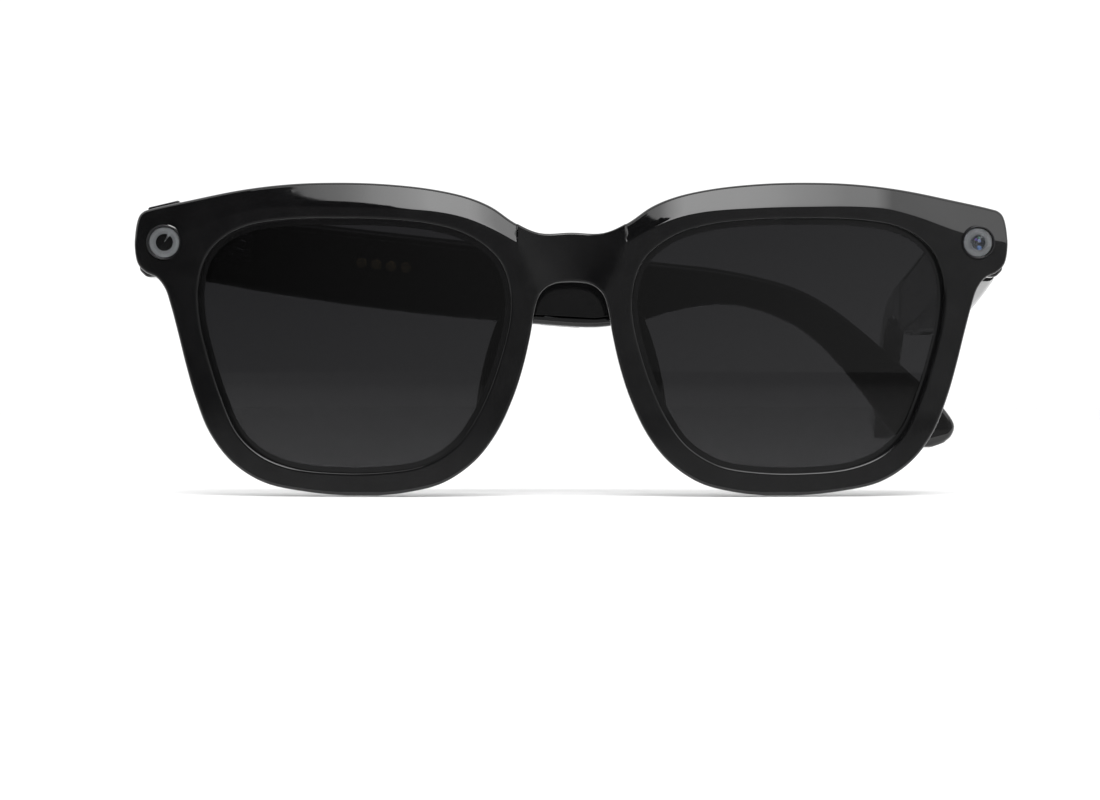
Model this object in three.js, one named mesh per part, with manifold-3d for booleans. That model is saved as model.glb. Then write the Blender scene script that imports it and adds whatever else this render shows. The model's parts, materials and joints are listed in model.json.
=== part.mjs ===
// Camera glasses, modelled in millimetres with +Z up.
// The wearer looks along -Y, so the front faces -Y and the temples reach back along +Y.
// "right" and "left" are the wearer's: the right side is at -X and the left side at +X.
// At rest the right temple is folded behind the front and the left temple is open.
import * as THREE from 'three';
import { mergeVertices } from 'three/addons/utils/BufferGeometryUtils.js';
import Module from 'manifold-3d';

const wasm = await Module();
wasm.setup();

// Overall layout
const GAP = 0.3;                // clearance between neighbouring pieces
const DEPTH_CENTRE = 75.22;     // half of the whole depth, so that the origin is in the middle
const WRAP_RADIUS = 350;        // plan radius that the front is bent to
const FRONT_THICKNESS = 5.0;

// Lens seat, as depths behind the bent front face
const GROOVE = { near: 1.5, far: 3.9, reach: 0.9 };
const LENS = { near: 1.8, far: 3.6, reach: 0.6 };

// Brow facet, bridge saddle and the flex channel behind the brow
const FACET_SLOPE = Math.tan(THREE.MathUtils.degToRad(30));
const FACET_LOW = 1;             // how far the facet's cutting wedge reaches in front of its edge
const FACET_HIGH = 14;           // and how far up the slope it reaches
const SADDLE = { depth: 1.8, half: 5.5, low: 34.8, high: 43.1, spread: 0.458 };
const CHANNEL = { near: 3.2, half: 1.5 };
const BROW_COVER = { near: 4.2, sunk: 0.1, reach: 65 };
const FRONT_FLEX = { half: 0.9, near: 3.5, far: 3.9, reach: 66 };

// Nose pads: an oval section on a line that leans in towards the bridge
const PAD = { low: 11.5, centre: 14.6, lean: 0.235, size: 2.9, twist: 0.9, sides: 10 };
const PAD_LEVELS = [11.5, 13.5, 17, 21, 25, 28.5, 31, 32.5];

// End pieces that carry the hinges
const HORN = { inner: 66.5, outer: 74.5, low: 37.4, front: 11.0, back: 18.4, wall: 1.1 };
const HORN_TOP = { shoulder: 47.6, corner: 49.0, inset: 1.4, peak: 50.4 };
const HORN_FOOT = { toe: 0.8, heel: 1.2 };
const END_COVER = { far: 0.2, near: 1.2 };       // how far in front of the end piece's back its cover lies
const POCKET = { low: 39.0, high: 46.4, front: 9.9 };

// Camera eye and status light: a bezel, a window and a core on one axis, as depths from the eye's centre
const EYE = { x: 69.7, z: 43.2, depth: 7.0, bore: 3.3, bottom: 3.4 };
const CAMERA_RADIUS = 3.0;
const STATUS_RADIUS = 2.85;
const BEZEL = { wall: 0.35, near: -0.35, far: 2.4 };
const WINDOW = { margin: 0.6, near: -0.15, far: 0.45 };
const EYE_CORE = { radius: 1.43, near: 0.75, far: 3.2 };
const CAMERA_MODULE = [-72.8, -68.2, 10.5, 15.2, 40.9, 45.9];
const STATUS_BOARD = [68.2, 72.8, 10.5, 11.6, 40.6, 45.9];

// Hinges
const PIN = { x: 64.6, y: 18.3, radius: 0.6, low: 40.5, high: 46.7 };
const KNUCKLE = { radius: 1.4, bore: 0.9, low: 42.6, high: 44.6 };
const LEAF = { start: 1.7, end: 9.0, inner: 0.6, outer: 1.6 };
const FRONT_LEAF = { start: -6.6, end: -1.7, neck: -1.9 };
const NECK = { inner: 0.9, outer: 1.4 };           // thin web between a knuckle and its plate
const FRONT_RIVETS = [-5.5, -3.2];
const TEMPLE_RIVETS = [4.0, 7.2];
const RIVET = { radius: 0.7, hole: 1.0, near: -0.1, far: 1.15, z: 43.6 };
const SCREW_HEAD = { radius: 1.25, crown: 0.9, low: 0.3, rim: 0.9, high: 1.1 };

// Temples, in their own frame: u along the temple, w outwards from the pin, z up
const TEMPLE = { inner: 1.9, outer: 9.9, slim: 6.1, wall: 1.3, corner: 1.2, hollow: 8.6 };
const NARROWING = { start: 66, length: 24 };            // where the outer face moves in towards the tip
const TEMPLE_SLOPE = Math.atan2(7.9, 68.6);
const COVER = 1.0;
const COVER_STOPS = { first: 2.6, middle: [15, 30, 45, 58, 69], last: 73 };

// Boxes in a temple are [front, back, inner, outer, low, high] about a point of its middle line
const SPEAKER = { u: 63.5, box: [-4.5, 4.5, 3.4, 7.9, -4.2, 3.2] };
const SPEAKER_SLOT = [-3.4, 3.4, 4.2, 6.4, -9, -3];
const GRILLE = [-3.1, 3.1, 4.5, 6.1, -5.9, -5.1];
const SWITCH = { u: 17, travel: 2.4, body: [-4.4, 4.4, 4.5, 6.6, -2.2, 2.2], slot: 1.1 };
const KNOB = { half: 1.8, near: 1.45, far: 3.2, rise: 0.8, ribs: [0.7, 1.8, 2.9], rib: 0.2, groove: 1.7 };
const KNOB_STEM = [-2.2, -0.2, 3.0, 4.2, -0.5, 0.5];
const RIGHT_BOARD_U = 20;
const MAIN_BOARD = [-16, 14, 6.6, 7.3, -4.3, 4.3];
const PROCESSOR = [-12, -2, 5.1, 6.3, -3.4, 3.4];
const TOUCH_SENSOR = [-14, 14, 7.7, 8.1, -3.8, 3.8];
const LEFT_BOARD_U = 13.8;
const LEFT_BOARD = [-10.5, 8, 7.2, 7.9, -4.2, 4.2];
const CELL = { near: 3.4, far: 7.9, half: 4.3 };         // shared thickness and height of the battery cells
const RIGHT_CELL = { u: 50.2, half: 8 };
const LEFT_CELL = { u: 40.5, half: 17 };

// The steel core that joins a tip to its temple, and the hollows it lies in
const TIP_CORE = [71.5, 88, 3.3, 5.1, 34.6, 36.2];
const CORE_HOLE = [71, 78, 3.0, 5.4, 34.1, 36.7];
const TIP_SOCKET = [75, 88.2, 2.9, 5.5, 34.2, 37.5];
const TIP_THINNING = [0.9, 0.35, 0.1];                   // from the very end of the tip inwards

// Charging contacts, in a row that follows the slope of the right temple
const CONTACT = { first: 28.0, pitch: 2.57, count: 4, radius: 0.95, hole: 1.2, back: 3.6, z: 40.2, fall: 0.1 };
const MAGNETS = [24.0, 39.7];
const MAGNET = { radius: 1.5, near: 3.2, far: 4.6 };

// Capture button on top of the right end piece
const BUTTON = { x: 70.4, y: 13.9, z: 49.45, slope: THREE.MathUtils.degToRad(13.2) };
const BUTTON_CAP = [5.6, 2.6, 1.5];
const BUTTON_WELL = { size: [6.2, 3.2, 3.0], drop: -0.3 };
const BUTTON_SWITCH = { size: [3.0, 1.8, 0.35], drop: -1.55 };

// Control points of the front, as (x, z); the other half is its mirror image.
const OUTLINE = [
  [0, 44.6], [5.4, 44.5], [9.5, 46.2], [13.6, 49.0], [17.7, 50.7], [24, 52.1], [32, 53.0], [40, 53.3],
  [48, 53.1], [56.5, 52.2], [65, 50.7], [72.4, 49.2], [73.8, 48.75], [74.6, 47.8], [75, 43.5], [74.4, 39.6],
  [73, 38.1], [71.1, 37.2], [69.6, 35.3], [68.6, 32.4], [67.3, 27.6], [65.9, 22.1], [64.3, 16.7], [61.8, 10.6],
  [57.9, 5.6], [52.5, 2.2], [45, 0.6], [38, 0], [33, 0], [27, 0.7], [21.6, 2.2], [16.5, 5.7], [12.8, 10.4],
  [9.9, 16.5], [8.15, 21.9], [6.9, 27.4], [6.2, 31.5], [5.3, 34.1], [3.5, 35.7], [0, 36.2],
];
const APERTURE = [
  [38, 46.95], [48.8, 46.8], [55.6, 45.7], [59.8, 43.5], [62.4, 40.4], [63.7, 35.5], [63.5, 30.3],
  [62.1, 24.1], [59.7, 16.6], [57, 10.7], [53, 6.9], [47.5, 4.7], [38.8, 3.85], [31, 4.1], [25.6, 5.0],
  [21.8, 6.8], [18.8, 9.3], [15.9, 13.6], [13.6, 18.6], [11.9, 23.7], [10.7, 28.4], [10.3, 32],
  [10.7, 36], [12.2, 39.7], [15.2, 42.6], [18.9, 44.6], [24, 45.95], [30, 46.65],
];
const FACET_EDGE = [
  [9.4, 42.9], [13, 44.9], [17.6, 46.85], [22.7, 48.0], [32, 48.7], [40, 48.95], [48.8, 49.05],
  [53.9, 48.7], [59, 47.45], [66.9, 44.8], [75, 43.1], [78, 42.5],
];
const BROW_LINE = [
  [0, 41], [7, 41.6], [12, 44.4], [16, 47.0], [22, 49.0], [30, 50.2], [40, 50.6], [50, 50.3],
  [57, 49.2], [62, 47.4], [68.6, 45.0],
];

// Matched points on the upper and lower edges of a temple, as (u, z) pairs
const STATIONS = [
  [0.4, 49.4, 0.4, 37.0], [15, 47.7, 15, 34.5], [30, 46.0, 30, 32.35], [45, 44.3, 45, 30.7],
  [58, 42.8, 58, 29.6], [69, 41.6, 69, 29.0], [76, 40.8, 76, 29.9], [83, 40.1, 83, 31.9],
  [90, 39.3, 89, 32.9], [98, 37.7, 95, 32.6], [104.5, 35.7, 100, 31.1], [110.5, 32.4, 104.5, 28.9],
  [116, 28.1, 108.7, 25.6], [121, 23.7, 112.8, 21.2], [126, 19.3, 117, 15.9], [130, 15.1, 120.5, 11.0],
  [132.1, 11.9, 123, 8.9], [131.7, 10.0, 125.4, 7.9], [130.6, 8.8, 127.8, 7.8],
];
const FIRST_TIP_STATION = 6;

const FINISH = {
  shell: { color: 0x0b0b0c, roughness: 0.12, metalness: 0 },
  lens: { color: 0x16171a, roughness: 0.05, metalness: 0, transparent: true, opacity: 0.8 },
  pad: { color: 0x111112, roughness: 0.35, metalness: 0 },
  steel: { color: 0x8f9194, roughness: 0.3, metalness: 1 },
  dark: { color: 0x2b2c2e, roughness: 0.35, metalness: 0.6 },
  gold: { color: 0xc8a25a, roughness: 0.3, metalness: 1 },
  board: { color: 0x14512f, roughness: 0.6, metalness: 0 },
  flex: { color: 0x9a5b1e, roughness: 0.5, metalness: 0 },
  cell: { color: 0x9aa0a6, roughness: 0.45, metalness: 0.4 },
  window: { color: 0x8d9094, roughness: 0.1, metalness: 0 },
};

// ---------------------------------------------------------------- helpers

function signedVolume(geometry) {
  const p = geometry.getAttribute('position');
  const index = geometry.index;
  const a = new THREE.Vector3();
  const b = new THREE.Vector3();
  const c = new THREE.Vector3();
  let sum = 0;
  for (let i = 0; i < index.count; i += 3) {
    a.fromBufferAttribute(p, index.getX(i));
    b.fromBufferAttribute(p, index.getX(i + 1));
    c.fromBufferAttribute(p, index.getX(i + 2));
    sum += a.dot(b.cross(c)) / 6;
  }
  return sum;
}

// Merges the vertices and turns the faces outwards.
function closed(geometry) {
  const bare = geometry.clone();
  bare.deleteAttribute('normal');
  bare.deleteAttribute('uv');
  const merged = mergeVertices(bare, 1e-4);
  if (signedVolume(merged) < 0) {
    const index = merged.index;
    for (let i = 0; i < index.count; i += 3) {
      const swap = index.getX(i + 1);
      index.setX(i + 1, index.getX(i + 2));
      index.setX(i + 2, swap);
    }
  }
  return merged;
}

function solid(geometry) {
  const merged = closed(geometry);
  return new wasm.Manifold(new wasm.Mesh({
    numProp: 3,
    vertProperties: new Float32Array(merged.getAttribute('position').array),
    triVerts: new Uint32Array(merged.index.array),
  }));
}

function toGeometry(manifold) {
  const result = manifold.getMesh();
  const geometry = new THREE.BufferGeometry();
  geometry.setAttribute('position', new THREE.BufferAttribute(new Float32Array(result.vertProperties), 3));
  geometry.setIndex(new THREE.BufferAttribute(new Uint32Array(result.triVerts), 1));
  geometry.computeVertexNormals();
  return geometry;
}

function piece(name, shape, finish) {
  const geometry = shape.isBufferGeometry ? closed(shape) : toGeometry(shape);
  const mesh = new THREE.Mesh(geometry, new THREE.MeshStandardMaterial(FINISH[finish]));
  mesh.name = name;
  return mesh;
}

function sag(x) {
  return (x * x) / (2 * WRAP_RADIUS);
}

function smooth(points, isClosed, steps) {
  const knots = points.map(([x, z]) => new THREE.Vector3(x, 0, z));
  const curve = new THREE.CatmullRomCurve3(knots, isClosed, 'centripetal');
  const segments = isClosed ? knots.length : knots.length - 1;
  const samples = curve.getPoints(segments * steps);
  if (isClosed) {
    samples.pop();
  }
  return samples.map((v) => [v.x, v.z]);
}

function heightOf(points, x) {
  const i = Math.max(1, points.findIndex((p) => p[0] >= x));
  const [x0, z0] = points[i - 1];
  const [x1, z1] = points[i];
  return z0 + ((z1 - z0) * (x - x0)) / (x1 - x0);
}

function mirrored(points) {
  return points.map(([x, z]) => [-x, z]).reverse();
}

// A closed outline moved outwards by a distance, point by point.
function grown(points, distance) {
  const turn = outlineArea(points) > 0 ? 1 : -1;
  return points.map(([x, z], i) => {
    const [x0, z0] = points[(i + points.length - 1) % points.length];
    const [x1, z1] = points[(i + 1) % points.length];
    const length = Math.hypot(x1 - x0, z1 - z0);
    return [x + (turn * distance * (z1 - z0)) / length, z - (turn * distance * (x1 - x0)) / length];
  });
}

function outlineArea(points) {
  return THREE.ShapeUtils.area(points.map(([x, z]) => new THREE.Vector2(x, z)));
}

// The two edges of a band that follows an open line.
function band(line, half) {
  const sides = [1, -1].map((side) => line.map(([x, z], i) => {
    const [x0, z0] = line[Math.max(i - 1, 0)];
    const [x1, z1] = line[Math.min(i + 1, line.length - 1)];
    const length = Math.hypot(x1 - x0, z1 - z0);
    return [x - (side * half * (z1 - z0)) / length, z + (side * half * (x1 - x0)) / length];
  }));
  return [...sides[0], ...sides[1].reverse()];
}

function shapeOf(points) {
  return new THREE.Shape(points.map(([x, z]) => new THREE.Vector2(x, z)));
}

// An outline in x and z, pushed along Y.
function prismY(points, near, far) {
  const geometry = new THREE.ExtrudeGeometry(shapeOf(points), { depth: far - near, bevelEnabled: false });
  geometry.rotateX(Math.PI / 2);
  geometry.translate(0, far, 0);
  return solid(geometry);
}

// A slab bent to the plan curve of the front, between two depths behind its face.
function bentSlab(near, far, half = 78, steps = 36) {
  const face = [];
  const back = [];
  for (let i = 0; i <= steps; i += 1) {
    const x = -half + (2 * half * i) / steps;
    face.push(new THREE.Vector2(x, sag(x) + near));
    back.push(new THREE.Vector2(x, sag(x) + far));
  }
  const plan = new THREE.Shape([...face, ...back.reverse()]);
  const geometry = new THREE.ExtrudeGeometry(plan, { depth: 80, bevelEnabled: false });
  geometry.translate(0, 0, -10);
  return solid(geometry);
}

// A solid through a row of convex sections with the same number of points.
function loft(sections) {
  const count = sections[0].length;
  const vertices = sections.flat().flatMap((v) => [v.x, v.y, v.z]);
  const faces = [];
  for (let s = 0; s + 1 < sections.length; s += 1) {
    for (let i = 0; i < count; i += 1) {
      const a = s * count + i;
      const b = s * count + ((i + 1) % count);
      faces.push(a, b, a + count, b, b + count, a + count);
    }
  }
  const last = (sections.length - 1) * count;
  for (let i = 1; i + 1 < count; i += 1) {
    faces.push(0, i + 1, i, last, last + i, last + i + 1);
  }
  const geometry = new THREE.BufferGeometry();
  geometry.setAttribute('position', new THREE.Float32BufferAttribute(vertices, 3));
  geometry.setIndex(faces);
  return closed(geometry);
}

function box(x0, x1, y0, y1, z0, z1) {
  const geometry = new THREE.BoxGeometry(x1 - x0, y1 - y0, z1 - z0);
  geometry.translate((x0 + x1) / 2, (y0 + y1) / 2, (z0 + z1) / 2);
  return geometry;
}

function rodY(radius, near, far, sides = 20) {
  const geometry = new THREE.CylinderGeometry(radius, radius, far - near, sides);
  geometry.translate(0, (near + far) / 2, 0);
  return geometry;
}

function rodZ(radius, low, high, sides = 16) {
  const geometry = new THREE.CylinderGeometry(radius, radius, high - low, sides);
  geometry.rotateX(Math.PI / 2);
  geometry.translate(0, 0, (low + high) / 2);
  return geometry;
}

function at(geometry, x, y, z) {
  return geometry.clone().translate(x, y, z);
}

// A mirror image in x of a piece of the right side gives the left side, and the other way round.
function flippedX(geometry) {
  return closed(geometry.clone().scale(-1, 1, 1));
}

// ---------------------------------------------------------------- front

const outerHalf = OUTLINE.slice(1, -1);
const outline = smooth([OUTLINE[0], ...outerHalf, OUTLINE.at(-1), ...mirrored(outerHalf)], true, 2)
  .map(([x, z]) => [x, Math.max(z, 0)]);
const aperture = smooth(APERTURE, true, 2);
const facetEdge = smooth(FACET_EDGE, false, 2);
const browHalf = smooth(BROW_LINE, false, 1);
const browLine = [...mirrored(browHalf.slice(1)), ...browHalf];

// The wedge that the brow facet leaves empty, on the left half.
function facetCutter() {
  const sections = facetEdge.map(([x, z]) => {
    const face = sag(x);
    const point = (rise) => new THREE.Vector3(x, face + rise * FACET_SLOPE, z + rise);
    const front = (rise) => new THREE.Vector3(x, face - 6, z + rise);
    return [point(-FACET_LOW), point(FACET_HIGH), front(FACET_HIGH), front(-FACET_LOW)];
  });
  return solid(loft(sections));
}

// The hollow between the two rims, wider at the top, whose floor is a shallow arch.
function saddleCutter() {
  const sections = [32, SADDLE.low, SADDLE.high, 52].map((z) => {
    const rise = THREE.MathUtils.clamp(z, SADDLE.low, SADDLE.high) - SADDLE.low;
    const half = SADDLE.half + rise * SADDLE.spread;
    const floor = [-1.2, -0.9, -0.6, -0.3, 0, 0.3, 0.6, 0.9, 1.2].map((share) => (
      new THREE.Vector3(share * half, sag(half) + SADDLE.depth * (1 - share * share), z)));
    return [...floor, new THREE.Vector3(1.2 * half, -4, z), new THREE.Vector3(-1.2 * half, -4, z)];
  });
  return solid(loft(sections));
}

// The block behind each end of the front that the hinge is fixed to.
function horn() {
  const profile = [
    [HORN.inner, HORN.low + HORN_FOOT.toe], [HORN.inner + HORN_FOOT.toe, HORN.low],
    [HORN.outer - HORN_FOOT.heel, HORN.low], [HORN.outer, HORN.low + HORN_FOOT.heel],
    [HORN.outer, HORN_TOP.shoulder], [HORN.outer - HORN_TOP.inset, HORN_TOP.corner],
    [HORN.inner, HORN_TOP.peak],
  ];
  return prismY(profile, HORN.front, HORN.back);
}

function hornCuts() {
  const { inner, outer, wall, back } = HORN;
  const room = solid(box(inner + wall, outer - wall, POCKET.front, back + 1, POCKET.low, POCKET.high));
  const hole = solid(at(rodY(EYE.bore, -3, EYE.bottom, 24), EYE.x, EYE.depth, EYE.z));
  return room.add(hole);
}

function bothSides(cutter) {
  return cutter.add(solid(flippedX(toGeometry(cutter))));
}

function buttonWell() {
  const well = new THREE.BoxGeometry(...BUTTON_WELL.size);
  return solid(buttonPlace(well.translate(0, 0, BUTTON_WELL.drop)));
}

// Moves a shape drawn around the button's foot to the sloping top of the right end piece.
function buttonPlace(geometry) {
  return geometry.clone().rotateY(-BUTTON.slope).translate(-BUTTON.x, BUTTON.y, BUTTON.z);
}

function frontFrame() {
  let body = prismY(outline, -1, 16).intersect(bentSlab(0, FRONT_THICKNESS));
  body = body.subtract(bothSides(facetCutter())).subtract(saddleCutter());
  body = body.add(bothSides(horn()));
  for (const opening of [aperture, mirrored(aperture)]) {
    body = body.subtract(prismY(opening, -2, 20));
    const groove = prismY(grown(opening, GROOVE.reach), -2, 20);
    body = body.subtract(groove.intersect(bentSlab(GROOVE.near, GROOVE.far)));
  }
  body = body.subtract(bothSides(hornCuts())).subtract(buttonWell());
  const channel = prismY(band(browLine, CHANNEL.half), -2, 20);
  return body.subtract(channel.intersect(bentSlab(CHANNEL.near, FRONT_THICKNESS + 1)));
}

function browStrip(half, near, far, reach) {
  const line = browLine.filter(([x]) => Math.abs(x) < reach);
  return prismY(band(line, half), -2, 20).intersect(bentSlab(near, far));
}

function lensSolid(opening) {
  return prismY(grown(opening, LENS.reach), -2, 20).intersect(bentSlab(LENS.near, LENS.far));
}

// A pad is thin at its ends and fullest in the middle, and hangs behind the nose side of the rim.
function nosePad() {
  const sections = PAD_LEVELS.map((z, i) => {
    const share = i / (PAD_LEVELS.length - 1);
    const full = Math.sin(Math.PI * (0.08 + 0.84 * share));
    const centre = PAD.centre - (z - PAD.low) * PAD.lean;
    const near = sag(centre) + FRONT_THICKNESS + GAP;
    const ring = [];
    for (let k = 0; k < PAD.sides; k += 1) {
      const angle = (2 * Math.PI * k) / PAD.sides;
      ring.push(new THREE.Vector3(
        centre + PAD.size * full * Math.cos(angle) - PAD.twist * full * Math.sin(angle),
        near + PAD.size * full * (1 + Math.sin(angle)),
        z,
      ));
    }
    return ring;
  });
  return loft(sections);
}

function ringY(outer, inner, near, far, sides = 24) {
  return solid(rodY(outer, near, far, sides)).subtract(solid(rodY(inner, near - 1, far + 1, sides)));
}

function domeY(radius, near, far) {
  const profile = [[0, 0], [0.55, 0.08], [0.85, 0.3], [1, 0.6], [1, 2]].map(([r, d]) => (
    new THREE.Vector2(r * radius, Math.min(near + d, far))));
  profile.push(new THREE.Vector2(radius, far), new THREE.Vector2(0, far));
  return new THREE.LatheGeometry(profile, 16);
}

function eyePieces(group, side, names, radius) {
  const eye = new THREE.Group();
  eye.position.set(side * EYE.x, EYE.depth, EYE.z);
  eye.add(piece(names.bezel, ringY(radius, radius - BEZEL.wall, BEZEL.near, BEZEL.far), 'dark'));
  eye.add(piece(names.window, rodY(radius - WINDOW.margin, WINDOW.near, WINDOW.far, 24), 'window'));
  eye.add(piece(names.core, domeY(EYE_CORE.radius, EYE_CORE.near, EYE_CORE.far), 'dark'));
  group.add(eye);
}

function hornCover() {
  const { inner, outer, wall, back } = HORN;
  const margin = wall + GAP;
  const [near, far] = [back - END_COVER.near, back - END_COVER.far];
  return box(inner + margin, outer - margin, near, far, POCKET.low + GAP, POCKET.high - GAP);
}

// ---------------------------------------------------------------- hinges

function knuckle(low, high, bar) {
  const barrel = solid(rodZ(KNUCKLE.radius, low, high)).add(solid(bar));
  return barrel.subtract(solid(rodZ(KNUCKLE.bore, low - 1, high + 1)));
}

// Drawn around the pin with x outwards and y backwards; the plate lies on the end piece.
function frontLeaf() {
  const { start, end, neck } = FRONT_LEAF;
  let leaf = solid(box(LEAF.inner, LEAF.outer, start, end, PIN.low, PIN.high));
  for (const [low, high] of [[PIN.low, KNUCKLE.low - GAP], [KNUCKLE.high + GAP, PIN.high]]) {
    leaf = leaf.add(knuckle(low, high, box(NECK.inner, NECK.outer, neck, 0, low, high)));
  }
  return leafHoles(leaf, FRONT_RIVETS);
}

// Drawn in the temple's own frame, with the pin at its origin.
function templeLeaf() {
  let leaf = solid(box(LEAF.start, LEAF.end, LEAF.inner, LEAF.outer, PIN.low, PIN.high));
  const web = box(0, -FRONT_LEAF.neck, NECK.inner, NECK.outer, KNUCKLE.low, KNUCKLE.high);
  leaf = leaf.add(knuckle(KNUCKLE.low, KNUCKLE.high, web));
  for (const u of TEMPLE_RIVETS) {
    leaf = leaf.subtract(solid(at(rodY(RIVET.hole, -1, 3, 12), u, LEAF.inner, RIVET.z)));
  }
  return leaf;
}

function leafHoles(leaf, places) {
  let result = leaf;
  for (const y of places) {
    result = result.subtract(solid(at(rodX(RIVET.hole, -1, 3), LEAF.inner, y, RIVET.z)));
  }
  return result;
}

function rodX(radius, near, far) {
  return rodY(radius, near, far, 12).rotateZ(-Math.PI / 2);
}

function hingeScrew() {
  const profile = [
    [0, PIN.low - GAP], [PIN.radius, PIN.low - GAP], [PIN.radius, PIN.high + SCREW_HEAD.low],
    [SCREW_HEAD.radius, PIN.high + SCREW_HEAD.low], [SCREW_HEAD.radius, PIN.high + SCREW_HEAD.rim],
    [SCREW_HEAD.crown, PIN.high + SCREW_HEAD.high], [0, PIN.high + SCREW_HEAD.high],
  ].map(([r, z]) => new THREE.Vector2(r, z));
  return new THREE.LatheGeometry(profile, 14).rotateX(Math.PI / 2);
}

// A small countersunk rivet lying across the leaf, from its face into the gap behind it.
function rivet() {
  return rodY(RIVET.radius, RIVET.near, RIVET.far, 12);
}

// ---------------------------------------------------------------- temples

function outerFace(u) {
  const share = THREE.MathUtils.clamp((u - NARROWING.start) / NARROWING.length, 0, 1);
  const ease = share * share * (3 - 2 * share);
  return TEMPLE.outer + (TEMPLE.slim - TEMPLE.outer) * ease;
}

// One eight-sided section between an upper and a lower edge point.
function templeSection([ua, za, ub, zb], thin = 0) {
  const upper = new THREE.Vector3(ua, 0, za);
  const lower = new THREE.Vector3(ub, 0, zb);
  const inner = TEMPLE.inner + thin;
  const outer = outerFace((ua + ub) / 2) - thin;
  const cut = TEMPLE.corner / upper.distanceTo(lower);
  const corner = Math.min(TEMPLE.corner, (outer - inner) / 3);
  const spot = (share, w) => new THREE.Vector3().lerpVectors(lower, upper, share).setY(w);
  return [
    spot(0, inner + corner), spot(cut, inner), spot(1 - cut, inner), spot(1, inner + corner),
    spot(1, outer - corner), spot(1 - cut, outer), spot(cut, outer), spot(0, outer - corner),
  ];
}

function edgeAt(u, upper) {
  const edge = STATIONS.slice(0, FIRST_TIP_STATION + 1).map((s) => (upper ? [s[0], s[1]] : [s[2], s[3]]));
  return heightOf(edge, u);
}

// A block inside the temple that keeps a margin to its upper and lower edges.
function insideTemple(stops, margin, near, far) {
  const sections = stops.map((u) => {
    const low = edgeAt(u, false) + margin;
    const high = edgeAt(u, true) - margin;
    return [[near, low], [near, high], [far, high], [far, low]].map(([w, z]) => new THREE.Vector3(u, w, z));
  });
  return loft(sections);
}

function templeShell() {
  const sections = STATIONS.slice(0, FIRST_TIP_STATION + 1).map((s) => templeSection(s));
  const stops = [COVER_STOPS.first, ...COVER_STOPS.middle, COVER_STOPS.last];
  const cavity = solid(insideTemple(stops, TEMPLE.wall, TEMPLE.inner - 1, TEMPLE.hollow));
  const slot = solid(along(box(...SPEAKER_SLOT), SPEAKER.u));
  const coreHole = solid(box(...CORE_HOLE));
  return solid(loft(sections)).subtract(cavity).subtract(slot).subtract(coreHole);
}

function templeCover(holes) {
  const stops = [COVER_STOPS.first + GAP, ...COVER_STOPS.middle, COVER_STOPS.last - GAP];
  const plate = insideTemple(stops, TEMPLE.wall + GAP, TEMPLE.inner, TEMPLE.inner + COVER);
  let cover = solid(plate);
  for (const hole of holes) {
    cover = cover.subtract(solid(hole));
  }
  return cover;
}

function templeTip() {
  const [ua, za, ub, zb] = STATIONS[FIRST_TIP_STATION];
  const start = [ua + GAP, za, ub + GAP, zb];
  const stations = [start, ...STATIONS.slice(FIRST_TIP_STATION + 1)];
  const end = stations.length - 1;
  const sections = stations.map((s, i) => templeSection(s, TIP_THINNING[end - i] ?? 0));
  return solid(loft(sections)).subtract(solid(box(...TIP_SOCKET)));
}

// Turns a shape drawn around a point of the temple's middle line to follow its slope.
function along(geometry, u) {
  const z = (edgeAt(u, true) + edgeAt(u, false)) / 2;
  return geometry.clone().rotateY(TEMPLE_SLOPE).translate(u, 0, z);
}

function batteryCell({ u, half }) {
  return along(box(-half, half, CELL.near, CELL.far, -CELL.half, CELL.half), u);
}

function templePieces(side, holes) {
  const pieces = [
    piece(`${side}_temple_shell`, templeShell(), 'shell'),
    piece(`${side}_temple_cover`, templeCover(holes), 'shell'),
    piece(`${side}_temple_tip`, templeTip(), 'shell'),
    piece(`${side}_tip_core`, box(...TIP_CORE), 'steel'),
    piece(`${side}_temple_leaf`, templeLeaf(), 'steel'),
    piece(`${side}_speaker`, along(box(...SPEAKER.box), SPEAKER.u), 'dark'),
    piece(`${side}_speaker_grille`, along(box(...GRILLE), SPEAKER.u), 'steel'),
  ];
  TEMPLE_RIVETS.forEach((u, i) => {
    pieces.push(piece(`${side}_temple_rivet_${i + 1}`, at(rivet(), u, LEAF.inner, RIVET.z), 'steel'));
  });
  return pieces;
}

function contactHeight(u) {
  return CONTACT.z - CONTACT.fall * (u - CONTACT.first);
}

function contactPlaces() {
  return Array.from({ length: CONTACT.count }, (_, i) => CONTACT.first + CONTACT.pitch * i);
}

function rightTemplePieces() {
  const places = contactPlaces();
  const holes = places.map((u) => at(rodY(CONTACT.hole, 0, 4, 14), u, 0, contactHeight(u)));
  const pieces = templePieces('right', holes);
  places.forEach((u, i) => {
    const contact = at(rodY(CONTACT.radius, TEMPLE.inner, CONTACT.back, 14), u, 0, contactHeight(u));
    pieces.push(piece(`charging_contact_${i + 1}`, contact, 'gold'));
  });
  MAGNETS.forEach((u, i) => {
    const magnet = at(rodY(MAGNET.radius, MAGNET.near, MAGNET.far, 12), u, 0, contactHeight(u));
    pieces.push(piece(`charging_magnet_${i + 1}`, magnet, 'steel'));
  });
  pieces.push(piece('main_board', along(box(...MAIN_BOARD), RIGHT_BOARD_U), 'board'));
  pieces.push(piece('processor_shield', along(box(...PROCESSOR), RIGHT_BOARD_U), 'steel'));
  pieces.push(piece('touch_sensor', along(box(...TOUCH_SENSOR), RIGHT_BOARD_U), 'flex'));
  pieces.push(piece('right_battery', batteryCell(RIGHT_CELL), 'cell'));
  return pieces;
}

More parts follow.
